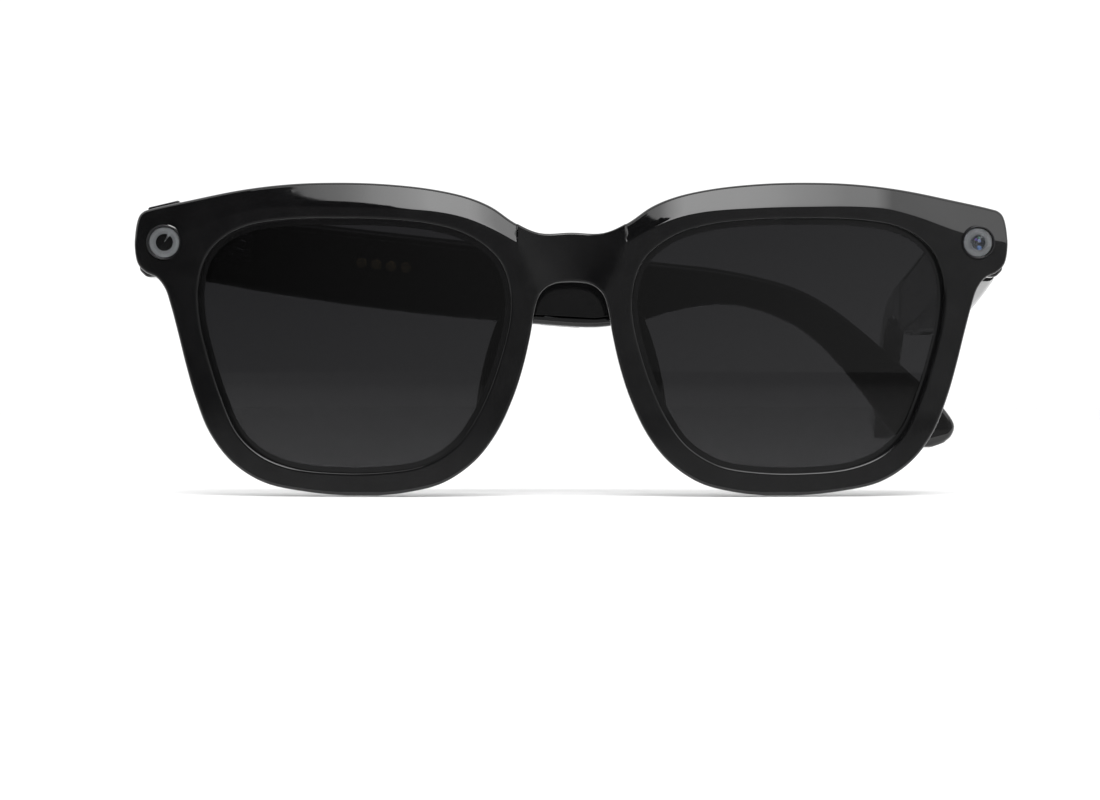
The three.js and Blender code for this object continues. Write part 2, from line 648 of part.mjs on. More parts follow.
function leftTemplePieces() {
  const reach = KNOB.half + SWITCH.travel / 2 + GAP;
  const slot = along(box(-reach, reach, 0, 4, -SWITCH.slot, SWITCH.slot), SWITCH.u);
  const pieces = templePieces('left', [slot]);
  pieces.push(piece('power_switch_body', along(box(...SWITCH.body), SWITCH.u), 'dark'));
  pieces.push(piece('left_battery', batteryCell(LEFT_CELL), 'cell'));
  pieces.push(piece('left_board', along(box(...LEFT_BOARD), LEFT_BOARD_U), 'board'));
  return pieces;
}

// The ribbed thumb piece of the power switch, at the front end of its slot.
function powerSlider() {
  const start = -KNOB.half - SWITCH.travel / 2;
  const knob = box(start, start + 2 * KNOB.half, KNOB.near, KNOB.far, -KNOB.rise, KNOB.rise);
  let slider = solid(knob).add(solid(box(...KNOB_STEM)));
  for (const rib of KNOB.ribs) {
    const u = start + rib;
    slider = slider.subtract(solid(box(u - KNOB.rib, u + KNOB.rib, 0, KNOB.groove, -2, 2)));
  }
  return along(toGeometry(slider), SWITCH.u);
}

// The temple frame is mirrored for the left side, because the wearer's two temples are a pair.
function templeGroup(side, pieces) {
  const group = new THREE.Group();
  group.position.set(side * PIN.x, PIN.y, 0);
  if (side > 0) {
    group.rotation.z = Math.PI / 2;
    for (const mesh of pieces) {
      mesh.geometry = closed(mesh.geometry.clone().scale(1, -1, 1));
    }
  }
  group.add(...pieces);
  return group;
}

// ---------------------------------------------------------------- assembly

const coverEdge = FRONT_THICKNESS - BROW_COVER.sunk;
const coverStrip = browStrip(CHANNEL.half - GAP, BROW_COVER.near, coverEdge, BROW_COVER.reach);
const flexStrip = browStrip(FRONT_FLEX.half, FRONT_FLEX.near, FRONT_FLEX.far, FRONT_FLEX.reach);

const front = new THREE.Group();
front.add(piece('front_frame', frontFrame(), 'shell'));
front.add(piece('brow_cover', coverStrip, 'shell'));
front.add(piece('front_flex', flexStrip, 'flex'));
front.add(piece('left_lens', lensSolid(aperture), 'lens'));
front.add(piece('right_lens', lensSolid(mirrored(aperture)), 'lens'));
front.add(piece('left_nose_pad', nosePad(), 'pad'));
front.add(piece('right_nose_pad', flippedX(nosePad()), 'pad'));

eyePieces(front, -1, { bezel: 'camera_bezel', window: 'camera_window', core: 'camera_barrel' }, CAMERA_RADIUS);
eyePieces(front, 1, { bezel: 'status_bezel', window: 'status_window', core: 'status_light' }, STATUS_RADIUS);
front.add(piece('camera_module', box(...CAMERA_MODULE), 'dark'));
front.add(piece('status_board', box(...STATUS_BOARD), 'board'));

for (const [side, name] of [[-1, 'right'], [1, 'left']]) {
  const mirror = side > 0 ? (g) => g : flippedX;
  front.add(piece(`${name}_end_cover`, mirror(hornCover()), 'shell'));
  const hinge = new THREE.Group();
  hinge.position.set(side * PIN.x, PIN.y, 0);
  hinge.add(piece(`${name}_front_leaf`, mirror(toGeometry(frontLeaf())), 'steel'));
  hinge.add(piece(`${name}_hinge_screw`, hingeScrew(), 'steel'));
  FRONT_RIVETS.forEach((y, i) => {
    const pin = at(rodX(RIVET.radius, RIVET.near, RIVET.far), LEAF.inner, y, RIVET.z);
    hinge.add(piece(`${name}_front_rivet_${i + 1}`, mirror(pin), 'steel'));
  });
  front.add(hinge);
}

front.add(piece('capture_button', buttonPlace(new THREE.BoxGeometry(...BUTTON_CAP)), 'dark'));
const underButton = new THREE.BoxGeometry(...BUTTON_SWITCH.size).translate(0, 0, BUTTON_SWITCH.drop);
front.add(piece('capture_switch', buttonPlace(underButton), 'steel'));

const glasses = new THREE.Group();
glasses.position.set(0, -DEPTH_CENTRE, 0);
glasses.add(front);
glasses.add(templeGroup(-1, rightTemplePieces()));
glasses.add(templeGroup(1, [...leftTemplePieces(), piece('power_slider', powerSlider(), 'dark')]));

export default glasses;
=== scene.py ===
"""Camera glasses: the finished look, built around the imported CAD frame.

Sizes are in millimetres in the front's own coordinates (x to the wearer's left, y backwards from the middle
of the front face, z up) and become metres in the shared frame when a mesh is made.
"""
import json
import math

import bmesh
import bpy
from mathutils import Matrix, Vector
from mathutils.geometry import delaunay_2d_cdt
from mathutils.kdtree import KDTree

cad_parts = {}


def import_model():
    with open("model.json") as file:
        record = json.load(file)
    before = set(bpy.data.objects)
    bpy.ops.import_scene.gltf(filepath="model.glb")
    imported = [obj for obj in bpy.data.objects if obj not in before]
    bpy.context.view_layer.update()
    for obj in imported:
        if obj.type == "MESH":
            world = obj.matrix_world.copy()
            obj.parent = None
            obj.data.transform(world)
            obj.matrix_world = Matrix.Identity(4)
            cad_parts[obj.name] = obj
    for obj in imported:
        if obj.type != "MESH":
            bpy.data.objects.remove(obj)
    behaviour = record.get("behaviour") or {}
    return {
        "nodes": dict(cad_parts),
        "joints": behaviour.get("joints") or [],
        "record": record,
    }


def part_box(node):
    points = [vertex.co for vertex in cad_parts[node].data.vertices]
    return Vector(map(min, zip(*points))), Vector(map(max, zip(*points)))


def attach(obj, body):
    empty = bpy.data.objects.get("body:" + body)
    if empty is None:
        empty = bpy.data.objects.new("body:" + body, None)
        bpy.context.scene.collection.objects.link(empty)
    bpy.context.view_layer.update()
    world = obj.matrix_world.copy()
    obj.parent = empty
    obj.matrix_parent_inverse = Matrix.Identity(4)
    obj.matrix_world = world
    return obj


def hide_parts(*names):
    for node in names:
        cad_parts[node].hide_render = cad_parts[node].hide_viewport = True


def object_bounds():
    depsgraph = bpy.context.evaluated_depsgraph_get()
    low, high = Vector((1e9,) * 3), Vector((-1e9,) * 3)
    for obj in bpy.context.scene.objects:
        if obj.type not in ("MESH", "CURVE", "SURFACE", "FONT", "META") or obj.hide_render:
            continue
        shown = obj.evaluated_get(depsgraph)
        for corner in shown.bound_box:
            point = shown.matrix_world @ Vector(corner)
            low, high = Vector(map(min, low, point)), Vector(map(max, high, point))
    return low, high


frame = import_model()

CAD_BOX = [list(corner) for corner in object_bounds()]
MM = 0.001
LOW, HIGH = ([value / MM for value in corner] for corner in CAD_BOX)
HINGE = next(j for j in frame["joints"] if j["name"] == "left_temple_fold")["pos_m"]
PIN_X, PIN_Y = HINGE[0] / MM, 18.3
FACE_Y = HINGE[1] / MM - PIN_Y          # where y = 0 of the front's own coordinates lies

# Front
WRAP_RADIUS = 350
THICKNESS = 5.0
FILLET = 0.45
MARGIN = 0.55                            # the face is followed closely for this far inside its fillets
GROOVE_NEAR, GROOVE_FAR, GROOVE_REACH = 1.5, 3.9, 0.9
LENS_NEAR, LENS_FAR, LENS_REACH = 1.8, 3.6, 0.6
CHANNEL_NEAR, CHANNEL_HALF, CHANNEL_END = 3.2, 1.5, 65.35
FACET_SLOPE = math.tan(math.radians(30))
FACET_START, FACET_RAMP = 9.35, 0.35     # where the facet ends by the bridge, and the flank that ends it
SADDLE_DEPTH, SADDLE_HALF, SADDLE_LOW, SADDLE_HIGH, SADDLE_SPREAD = 1.8, 5.5, 34.8, 43.1, 0.458
CREASE = 0.14                            # softness of the edge where the facet meets the face
CHANNEL_LIP = 0.06                       # width of the steep lip on each side of the channel
FILLET_STEPS = 4
LENS_BOW, LENS_SET, LENS_RINGS = 1400, 0.15, 24

# Points that fill the face, and the rows that they keep clear of
GRID, GRID_ROW = 1.0, 0.87
GRID_SIDE, GRID_TOP, GRID_CLEAR = 76, 54, 0.45
ROW_CLEAR, ROW_STEP = 0.06, 0.2
CREASE_ROWS = (-0.5, -0.25, -0.1, 0.0, 0.1, 0.25, 0.5)
FACET_END_ROWS = (-0.08, 0, 0.12, 0.23, 0.35, 0.43)
CHANNEL_ROWS = (-1.56, -1.46, 1.46, 1.56)
CHANNEL_END_ROWS = (-0.03, 0.03)
DENSE_ABOVE, DENSE_HALF, DENSE_STEP = 43, 1.2, 0.04

# Nose pads
PAD_LOW, PAD_RISE, PAD_LEVELS, PAD_SIDES = 11.5, 21.0, 30, 32
PAD_INNER, PAD_LEAN = 14.6, 0.235
PAD_WIDE, PAD_SLANT, PAD_DEEP = 2.8, 0.9, 2.7

# End pieces
HORN_INNER, HORN_OUTER, HORN_LOW, HORN_WALL = 66.5, 74.5, 37.4, 1.1
HORN_FRONT, HORN_BACK = 11.0, 18.4
POCKET_LOW, POCKET_HIGH, POCKET_FRONT = 39.0, 46.4, 9.9
EYE_X, EYE_Z, EYE_DEPTH = 69.7, 43.2, 7.0
CAMERA_EYE, STATUS_EYE = 3.0, 2.85
BORE_FRONT, BORE_BACK, BORE_CLEAR = -3.5, 3.4, 0.1
RING_LIP = 0.35
BUTTON_AT, BUTTON_SLOPE = (-70.4, 13.9, 49.45), math.radians(13.2)
BUTTON_CAP, BUTTON_WELL, WELL_DROP = (5.6, 2.6, 1.5), (6.2, 3.2, 3.0), -0.3

# Temples, in u along the temple, w outwards from the pin, z up
TEMPLE_INNER, TEMPLE_OUTER, TEMPLE_SLIM = 1.9, 9.9, 6.1
NARROW_START, NARROW_LENGTH = 66, 24
TEMPLE_WALL, TEMPLE_HOLLOW = 1.3, 8.6
CORNER = 1.25
SEAM = 0.3
TEMPLE_SLOPE = math.atan2(7.9, 68.6)
CAVITY_STOPS = (2.6, 15, 30, 45, 58, 69, 73)
SPEAKER_U, SPEAKER_SLOT = 63.5, ((-3.4, 4.2, -9), (3.4, 6.4, -3))
CORE_HOLE = (71, 78), (3.0, 5.4), (34.1, 36.7)
TIP_SOCKET = (75, 88.2), (2.9, 5.5), (34.2, 37.5)
END_RELIEF, COLLAR_RELIEF = 0.25, 0.5
TIP_THINNING, TIP_THINNING_RINGS = 0.9, 12

# Studio, in metres
SOFTBOX_STRENGTH = 6.7
WORLD_STRENGTH = 1.12
TENT_RADIUS, TENT_ROWS, TENT_COLUMNS = 3.0, 14, 28
FLOOR_HALF, FLOOR_DROP = 6.0, -0.0002
CAMERA_PLACE, CAMERA_LENS = (-0.00363, -0.57522, 0.0162), 96.9

OUTLINE = [
    (0, 44.6), (5.4, 44.5), (9.5, 46.2), (13.6, 49.0), (17.7, 50.7), (24, 52.1), (32, 53.0), (40, 53.3),
    (48, 53.1), (56.5, 52.2), (65, 50.7), (72.4, 49.2), (73.8, 48.75), (74.6, 47.8), (75, 43.5),
    (74.4, 39.6), (73, 38.1), (71.1, 37.2), (69.6, 35.3), (68.6, 32.4), (67.3, 27.6), (65.9, 22.1),
    (64.3, 16.7), (61.8, 10.6), (57.9, 5.6), (52.5, 2.2), (45, 0.6), (38, 0), (33, 0), (27, 0.7),
    (21.6, 2.2), (16.5, 5.7), (12.8, 10.4), (9.9, 16.5), (8.15, 21.9), (6.9, 27.4), (6.2, 31.5),
    (5.3, 34.1), (3.5, 35.7), (0, 36.2),
]
APERTURE = [
    (38, 46.95), (48.8, 46.8), (55.6, 45.7), (59.8, 43.5), (62.4, 40.4), (63.7, 35.5), (63.5, 30.3),
    (62.1, 24.1), (59.7, 16.6), (57, 10.7), (53, 6.9), (47.5, 4.7), (38.8, 3.85), (31, 4.1), (25.6, 5.0),
    (21.8, 6.8), (18.8, 9.3), (15.9, 13.6), (13.6, 18.6), (11.9, 23.7), (10.7, 28.4), (10.3, 32),
    (10.7, 36), (12.2, 39.7), (15.2, 42.6), (18.9, 44.6), (24, 45.95), (30, 46.65),
]
FACET_EDGE = [
    (9.4, 42.9), (13, 44.9), (17.6, 46.85), (22.7, 48.0), (32, 48.7), (40, 48.95), (48.8, 49.05),
    (53.9, 48.7), (59, 47.45), (66.9, 44.8), (75, 43.1), (78, 42.5),
]
BROW_LINE = [
    (0, 41), (7, 41.6), (12, 44.4), (16, 47.0), (22, 49.0), (30, 50.2), (40, 50.6), (50, 50.3),
    (57, 49.2), (62, 47.4), (68.6, 45.0),
]
STATIONS = [
    (0.4, 49.4, 0.4, 37.0), (15, 47.7, 15, 34.5), (30, 46.0, 30, 32.35), (45, 44.3, 45, 30.7),
    (58, 42.8, 58, 29.6), (69, 41.6, 69, 29.0), (76, 40.8, 76, 29.9), (83, 40.1, 83, 31.9),
    (90, 39.3, 89, 32.9), (98, 37.7, 95, 32.6), (104.5, 35.7, 100, 31.1), (110.5, 32.4, 104.5, 28.9),
    (116, 28.1, 108.7, 25.6), (121, 23.7, 112.8, 21.2), (126, 19.3, 117, 15.9), (130, 15.1, 120.5, 11.0),
    (132.1, 11.9, 123, 8.9), (131.7, 10.0, 125.4, 7.9), (130.6, 8.8, 127.8, 7.8),
]
TIP_STATION = 6
TIP_END = HIGH[1] - FACE_Y - PIN_Y


# ---------------------------------------------------------------- curves

def catmull(points, closed, steps):
    """A centripetal Catmull-Rom curve through the points."""
    count = len(points)
    result = []
    for i in range(count if closed else count - 1):
        if closed:
            p = [points[(i + k) % count] for k in (-1, 0, 1, 2)]
        else:
            before = [2 * a - b for a, b in zip(points[0], points[1])]
            after = [2 * a - b for a, b in zip(points[-1], points[-2])]
            p = [points[i - 1] if i else before, points[i], points[i + 1],
                 points[i + 2] if i + 2 < count else after]
        t = [0.0]
        for k in range(3):
            t.append(t[-1] + max(math.dist(p[k], p[k + 1]) ** 0.5, 1e-4))
        for s in range(steps):
            result.append(hermite(p, t, s / steps))
    if not closed:
        result.append(tuple(points[-1]))
    return result


def hermite(p, t, s):
    """The middle span of four points with non-uniform knots, at a share s of its length."""
    d = t[2] - t[1]
    point = []
    for a, b, c, e in zip(*p):
        m1 = d * ((b - a) / (t[1] - t[0]) - (c - a) / (t[2] - t[0]) + (c - b) / d)
        m2 = d * ((c - b) / d - (e - b) / (t[3] - t[1]) + (e - c) / (t[3] - t[2]))
        point.append((2 * s**3 - 3 * s**2 + 1) * b + (s**3 - 2 * s**2 + s) * m1
                     + (-2 * s**3 + 3 * s**2) * c + (s**3 - s**2) * m2)
    return tuple(point)


def mirrored(points):
    """The other half of an outline, run the other way."""
    return [(-x, z) for x, z in reversed(points)]


def height_at(points, x):
    """The height of an open line at x."""
    for (x0, z0), (x1, z1) in zip(points, points[1:]):
        if x <= x1:
            return z0 + (z1 - z0) * (x - x0) / (x1 - x0)
    return points[-1][1]


def signed_area(points):
    pairs = zip(points, points[1:] + points[:1])
    return sum(a[0] * b[1] - b[0] * a[1] for a, b in pairs) / 2


def grown(points, distance):
    """A closed outline moved outwards, point by point."""
    turn = 1 if signed_area(points) > 0 else -1
    result = []
    for i, (x, z) in enumerate(points):
        x0, z0 = points[i - 1]
        x1, z1 = points[(i + 1) % len(points)]
        length = math.hypot(x1 - x0, z1 - z0)
        result.append((x + turn * distance * (z1 - z0) / length, z - turn * distance * (x1 - x0) / length))
    return result


def inside(points, x, z):
    """Whether a point lies inside a closed outline."""
    odd = False
    for (x0, z0), (x1, z1) in zip(points, points[1:] + points[:1]):
        if (z0 > z) != (z1 > z) and x < (x1 - x0) * (z - z0) / (z1 - z0) + x0:
            odd = not odd
    return odd


# ---------------------------------------------------------------- meshes

def sag(x):
    """How far the front curves back at x."""
    return x * x / (2 * WRAP_RADIUS)


def place(point):
    """From the front's own coordinates to the shared frame."""
    x, y, z = point
    return Vector((x * MM, (y + FACE_Y) * MM, z * MM))


def make(name, points, faces, sharp=35):
    """One closed mesh object from points in millimetres."""
    mesh = bpy.data.meshes.new(name)
    mesh.from_pydata([place(p) for p in points], [], faces)
    bm = bmesh.new()
    bm.from_mesh(mesh)
    bmesh.ops.remove_doubles(bm, verts=bm.verts, dist=2e-6)
    bmesh.ops.dissolve_degenerate(bm, edges=bm.edges, dist=1e-6)
    bmesh.ops.recalc_face_normals(bm, faces=bm.faces)
    bm.to_mesh(mesh)
    bm.free()
    piece = bpy.data.objects.new(name, mesh)
    bpy.context.scene.collection.objects.link(piece)
    smooth(piece, sharp)
    return piece


def smooth(piece, sharp):
    mesh = piece.data
    mesh.polygons.foreach_set("use_smooth", [True] * len(mesh.polygons))
    mesh.set_sharp_from_angle(angle=math.radians(sharp))


def settle(piece):
    """Applies the modifiers of a piece."""
    graph = bpy.context.evaluated_depsgraph_get()
    graph.update()
    mesh = bpy.data.meshes.new_from_object(piece.evaluated_get(graph))
    piece.modifiers.clear()
    piece.data = mesh


def combine(piece, other, operation, sharp=35):
    modifier = piece.modifiers.new("combine", "BOOLEAN")
    modifier.operation = operation
    modifier.solver = "EXACT"
    modifier.object = other
    settle(piece)
    bpy.data.objects.remove(other)
    smooth(piece, sharp)


def loft(rings):
    """Points and faces of a closed loft through rings of equal length."""
    count = len(rings[0])
    points = [p for ring in rings for p in ring]
    faces = []
    for r in range(len(rings) - 1):
        for i in range(count):
            j = (i + 1) % count
            faces.append((r * count + i, r * count + j, (r + 1) * count + j, (r + 1) * count + i))
    faces.append(tuple(reversed(range(count))))
    faces.append(tuple(range((len(rings) - 1) * count, len(rings) * count)))
    return points, faces


def lathe(name, centre, profile, sides=64, sharp=35):
    """A solid of revolution about the Y direction, from (radius, depth) pairs that form a closed loop."""
    points = []
    for radius, depth in profile:
        for i in range(sides):
            angle = 2 * math.pi * i / sides
            points.append((centre[0] + radius * math.cos(angle), centre[1] + depth,
                           centre[2] + radius * math.sin(angle)))
    rows = len(profile)
    faces = []
    for r in range(rows):
        s = (r + 1) % rows
        for i in range(sides):
            j = (i + 1) % sides
            faces.append((r * sides + i, r * sides + j, s * sides + j, s * sides + i))
    return make(name, points, faces, sharp)


BOX_FACES = [(0, 1, 3, 2), (4, 6, 7, 5), (0, 4, 5, 1), (2, 3, 7, 6), (0, 2, 6, 4), (1, 5, 7, 3)]


def block(name, low, high):
    """A box between two corners."""
    corners = [(x, y, z) for x in (low[0], high[0]) for y in (low[1], high[1]) for z in (low[2], high[2])]
    return make(name, corners, BOX_FACES)


def prism(name, outline, near, far):
    """An outline carried from one depth to another."""
    points = [(x, near, z) for x, z in outline] + [(x, far, z) for x, z in outline]
    count = len(outline)
    faces = [(i, (i + 1) % count, count + (i + 1) % count, count + i) for i in range(count)]
    return make(name, points, faces + [tuple(range(count)), tuple(range(2 * count - 1, count - 1, -1))])


def soften(piece, width, segments=3, angle=30):
    """Rounded edges on a piece, with a modifier only."""
    weld = piece.modifiers.new("weld", "WELD")
    weld.merge_threshold = 1e-6
    bevel = piece.modifiers.new("round", "BEVEL")
    bevel.width = width * MM
    bevel.segments = segments
    bevel.limit_method = "ANGLE"
    bevel.angle_limit = math.radians(angle)
    bevel.use_clamp_overlap = True
    bevel.harden_normals = False


def finish_piece(piece, body, material, slot, *nodes):
    """Gives a piece its finish, its body and the nodes that it stands in for."""
    piece.data.materials.clear()
    piece.data.materials.append(material)
    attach(piece, body)
    if nodes:
        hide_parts(*nodes)
    return piece


# ---------------------------------------------------------------- materials

def principled(name, **settings):
    """A material with its node tree and its shader."""
    material = bpy.data.materials.new(name)
    material.use_nodes = True
    shader = material.node_tree.nodes["Principled BSDF"]
    for key, value in settings.items():
        shader.inputs[key.replace("_", " ")].default_value = value
    return material, material.node_tree, shader


def noise(tree, scale, detail=3.0, stretch=(1, 1, 1)):
    nodes = tree.nodes
    where = nodes.new("ShaderNodeTexCoord")
    mapping = nodes.new("ShaderNodeMapping")
    mapping.inputs["Scale"].default_value = stretch
    texture = nodes.new("ShaderNodeTexNoise")
    texture.inputs["Scale"].default_value = scale
    texture.inputs["Detail"].default_value = detail
    tree.links.new(where.outputs["Object"], mapping.inputs["Vector"])
    tree.links.new(mapping.outputs["Vector"], texture.inputs["Vector"])
    return texture.outputs["Fac"]


def ramp(tree, source, low, high, stops=(0.3, 0.7)):
    """Turns a 0 to 1 pattern into a colour between two colours."""
    node = tree.nodes.new("ShaderNodeValToRGB")
    node.color_ramp.elements[0].position = stops[0]
    node.color_ramp.elements[1].position = stops[1]
    node.color_ramp.elements[0].color = (*low, 1)
    node.color_ramp.elements[1].color = (*high, 1)
    tree.links.new(source, node.inputs["Fac"])
    return node.outputs["Color"]


def spread(tree, source, low, high):
    """Turns a 0 to 1 pattern into a value between two values."""
    node = tree.nodes.new("ShaderNodeMapRange")
    node.inputs["From Min"].default_value = 0.3
    node.inputs["From Max"].default_value = 0.7
    node.inputs["To Min"].default_value = low
    node.inputs["To Max"].default_value = high
    tree.links.new(source, node.inputs["Value"])
    return node.outputs["Result"]


def along_axis(tree, axis, start, end, low=0.0, high=1.0):
    """A value that runs from low to high between two places on one axis of the object."""
    where = tree.nodes.new("ShaderNodeTexCoord")
    split = tree.nodes.new("ShaderNodeSeparateXYZ")
    share = tree.nodes.new("ShaderNodeMapRange")
    share.inputs["From Min"].default_value = start
    share.inputs["From Max"].default_value = end
    share.inputs["To Min"].default_value = low
    share.inputs["To Max"].default_value = high
    tree.links.new(where.outputs["Object"], split.inputs["Vector"])
    tree.links.new(split.outputs[axis], share.inputs["Value"])
    return share.outputs["Result"]


def bump(tree, shader, source, strength, distance):
    node = tree.nodes.new("ShaderNodeBump")
    node.inputs["Strength"].default_value = strength
    node.inputs["Distance"].default_value = distance * MM
    tree.links.new(source, node.inputs["Height"])
    tree.links.new(node.outputs["Normal"], shader.inputs["Normal"])


def varied(name, low, high, rough, scale, bump_depth=0.0, stretch=(1, 1, 1), **settings):
    """A finish whose colour and roughness wander between two values."""
    material, tree, shader = principled(name, **settings)
    broad = noise(tree, scale * 0.25)
    fine = noise(tree, scale, 5.0, stretch)
    tree.links.new(ramp(tree, broad, low, high), shader.inputs["Base Color"])
    tree.links.new(spread(tree, fine, *rough), shader.inputs["Roughness"])
    if bump_depth:
        bump(tree, shader, fine, 0.4, bump_depth)
    return material


def lens_tint():
    """Dark tinted glass, a little lighter towards the bottom of the lens."""
    material, tree, shader = principled("lens_tint", Transmission_Weight=1.0, IOR=1.5)
    height = along_axis(tree, "Z", 47 * MM, 4 * MM)
    tint = ramp(tree, height, (0.012, 0.012, 0.013), (0.022, 0.022, 0.023), (0, 1))
    tree.links.new(tint, shader.inputs["Base Color"])
    tree.links.new(spread(tree, noise(tree, 300), 0.006, 0.010), shader.inputs["Roughness"])
    return material


def board_green():
    """Solder mask with a faint pattern of traces."""
    material, tree, shader = principled("board_green", Roughness=0.45)
    traces = tree.nodes.new("ShaderNodeTexVoronoi")
    traces.distance = "CHEBYCHEV"
    traces.inputs["Scale"].default_value = 900
    where = tree.nodes.new("ShaderNodeTexCoord")
    tree.links.new(where.outputs["Object"], traces.inputs["Vector"])
    colour = ramp(tree, traces.outputs["Distance"], (0.01, 0.07, 0.03), (0.03, 0.16, 0.08))
    tree.links.new(colour, shader.inputs["Base Color"])
    bump(tree, shader, traces.outputs["Distance"], 0.3, 0.03)
    return material


def painted_glint_finish(name, colour, strength):
    """A finish that also gives off a little light, as a painted glint."""
    material = varied(name, colour, tuple(c * 0.7 for c in colour), (0.1, 0.2), 2000, 0.004)
    shader = material.node_tree.nodes["Principled BSDF"]
    shader.inputs["Emission Color"].default_value = (*colour, 1)
    shader.inputs["Emission Strength"].default_value = strength
    return material


MATERIALS = {
    "frame_gloss": varied("frame_gloss", (0.0030, 0.0030, 0.0032), (0.0048, 0.0048, 0.0050), (0.02, 0.045),
                          900, 0.0002, IOR=1.5),
    "lens_tint": lens_tint(),
    "pad_satin": varied("pad_satin", (0.008, 0.008, 0.0085), (0.013, 0.013, 0.014), (0.3, 0.42),
                        1500, 0.004),
    "hinge_steel": varied("hinge_steel", (0.36, 0.37, 0.38), (0.48, 0.49, 0.50), (0.2, 0.38), 700, 0.003,
                          (1, 1, 9), Metallic=1.0),
    "bezel_dark": varied("bezel_dark", (0.010, 0.010, 0.011), (0.017, 0.017, 0.018), (0.08, 0.16),
                         1800, 0.001, Metallic=0.3),
    "eye_window": varied("eye_window", (0.90, 0.91, 0.92), (0.96, 0.97, 0.98), (0.006, 0.03), 800,
                         Transmission_Weight=1.0, IOR=1.45),
    "eye_plate": varied("eye_plate", (0.15, 0.155, 0.16), (0.20, 0.205, 0.21), (0.3, 0.5), 2400, 0.004),
    "iris_grey": varied("iris_grey", (0.05, 0.05, 0.052), (0.075, 0.075, 0.078), (0.2, 0.3), 2600, 0.001),
    "contact_gold": varied("contact_gold", (0.74, 0.56, 0.27), (0.86, 0.66, 0.35), (0.42, 0.56),
                           1600, 0.002, Metallic=0.6),
    "board_green": board_green(),
    "flex_amber": varied("flex_amber", (0.30, 0.12, 0.02), (0.44, 0.20, 0.05), (0.25, 0.4), 500, 0.01,
                         (1, 1, 12)),
    "cell_foil": varied("cell_foil", (0.50, 0.51, 0.53), (0.60, 0.61, 0.63), (0.25, 0.45), 600, 0.02,
                        Metallic=1.0),
    "module_black": varied("module_black", (0.02, 0.02, 0.021), (0.035, 0.035, 0.037), (0.5, 0.7),
                           1400, 0.006),
    # Painted glints: coloured finishes that glow to stand in for glints of light in the status window.
    "glint_blue": painted_glint_finish("glint_blue", (0.24, 0.38, 0.72), 0.30),
    "glint_pale": painted_glint_finish("glint_pale", (0.38, 0.46, 0.76), 0.25),
    "glint_violet": painted_glint_finish("glint_violet", (0.26, 0.18, 0.58), 0.30),
    "glint_green": painted_glint_finish("glint_green", (0.22, 0.50, 0.38), 0.20),
}


# ---------------------------------------------------------------- front

def outer_edge():
    """The border of the front, with close points where the facet ends by the bridge."""
    half = OUTLINE[1:-1]
    ring = catmull([OUTLINE[0], *half, OUTLINE[-1], *mirrored(half)], True, 6)
    result = []
    for (x0, z0), (x1, z1) in zip(ring, ring[1:] + ring[:1]):
        close = z0 > DENSE_ABOVE and abs(abs(x0 + x1) / 2 - FACET_START + 0.1) < DENSE_HALF
        parts = max(1, round(math.dist((x0, z0), (x1, z1)) / DENSE_STEP)) if close else 1
        result += [(x0 + (x1 - x0) * i / parts, z0 + (z1 - z0) * i / parts) for i in range(parts)]
    return [(min(max(x, LOW[0]), HIGH[0]), min(max(z, 0.0), HIGH[2])) for x, z in result]


EDGE = outer_edge()
LEFT_EYE = catmull(APERTURE, True, 10)
RIGHT_EYE = mirrored(LEFT_EYE)
CREASE_LINE = catmull(FACET_EDGE, False, 6)
BROW = catmull(BROW_LINE, False, 14)


def softened_max(a, b, width):
    """The larger of two values, eased where they meet."""
    return (a + b + math.hypot(a - b, width)) / 2


def eased(value):
    """A smooth step from 0 to 1."""
    share = min(max(value, 0.0), 1.0)
    return share * share * (3 - 2 * share)


def face_depth(x, z):
    """How deep the front surface lies behind its flat face: the saddle and the brow facet."""
    side = abs(x)
    rise = min(max(z, SADDLE_LOW), SADDLE_HIGH) - SADDLE_LOW
    half = SADDLE_HALF + rise * SADDLE_SPREAD
    saddle = SADDLE_DEPTH * max(0.0, 1 - (side / half) ** 2)
    share = min(max((side - FACET_START) / FACET_RAMP + 1, 0.0), 1.0)
    facet = (z - height_at(CREASE_LINE, side)) * FACET_SLOPE if share else -9.0
    depth = softened_max(saddle, facet, CREASE) if facet > -1 else saddle
    return max(sag(x) + saddle + (depth - saddle) * share, LOW[1] - FACE_Y)


def channel_distance(x, z):
    """Distance to the centre line of the channel behind the brow, which ends square."""
    side = abs(x)
    if side > CHANNEL_END:
        return 99.0
    spans = [pair for pair in zip(BROW, BROW[1:]) if abs(pair[0][0] - side) < 4]
    return min(span_distance(a, b, side, z) for a, b in spans)


def span_distance(a, b, x, z):
    dx, dz = b[0] - a[0], b[1] - a[1]
    share = min(max(((x - a[0]) * dx + (z - a[1]) * dz) / (dx * dx + dz * dz), 0.0), 1.0)
    return math.hypot(a[0] + share * dx - x, a[1] + share * dz - z)


def rear_depth(x, z):
    """How deep the back surface lies, with the channel carved into it."""
    carved = eased((CHANNEL_HALF + 0.02 - channel_distance(x, z)) / CHANNEL_LIP)
    return sag(x) + THICKNESS - (THICKNESS - CHANNEL_NEAR) * carved


def nearness(points):
    """A function that gives the distance from a place to the closest of some points."""
    tree = KDTree(len(points))
    for i, (x, z) in enumerate(points):
        tree.insert((x, z, 0), i)
    tree.balance()
    return lambda x, z: tree.find((x, z, 0))[2]


def on_face(rings, x, z):
    """Whether a place lies within the border and outside the openings."""
    return inside(rings[0], x, z) and not any(inside(hole, x, z) for hole in rings[1:])


def filler(rings, taken):
    """A staggered grid of points that fills the face, clear of the points already there."""
    gap = nearness(taken)
    result = []
    row = 0
    z = GRID / 2
    while z < GRID_TOP:
        x = -GRID_SIDE + (row % 2) * GRID / 2
        while x < GRID_SIDE:
            if gap(x, z) > GRID_CLEAR and on_face(rings, x, z):
                result.append((x, z))
            x += GRID
        z += GRID * GRID_ROW
        row += 1
    return result


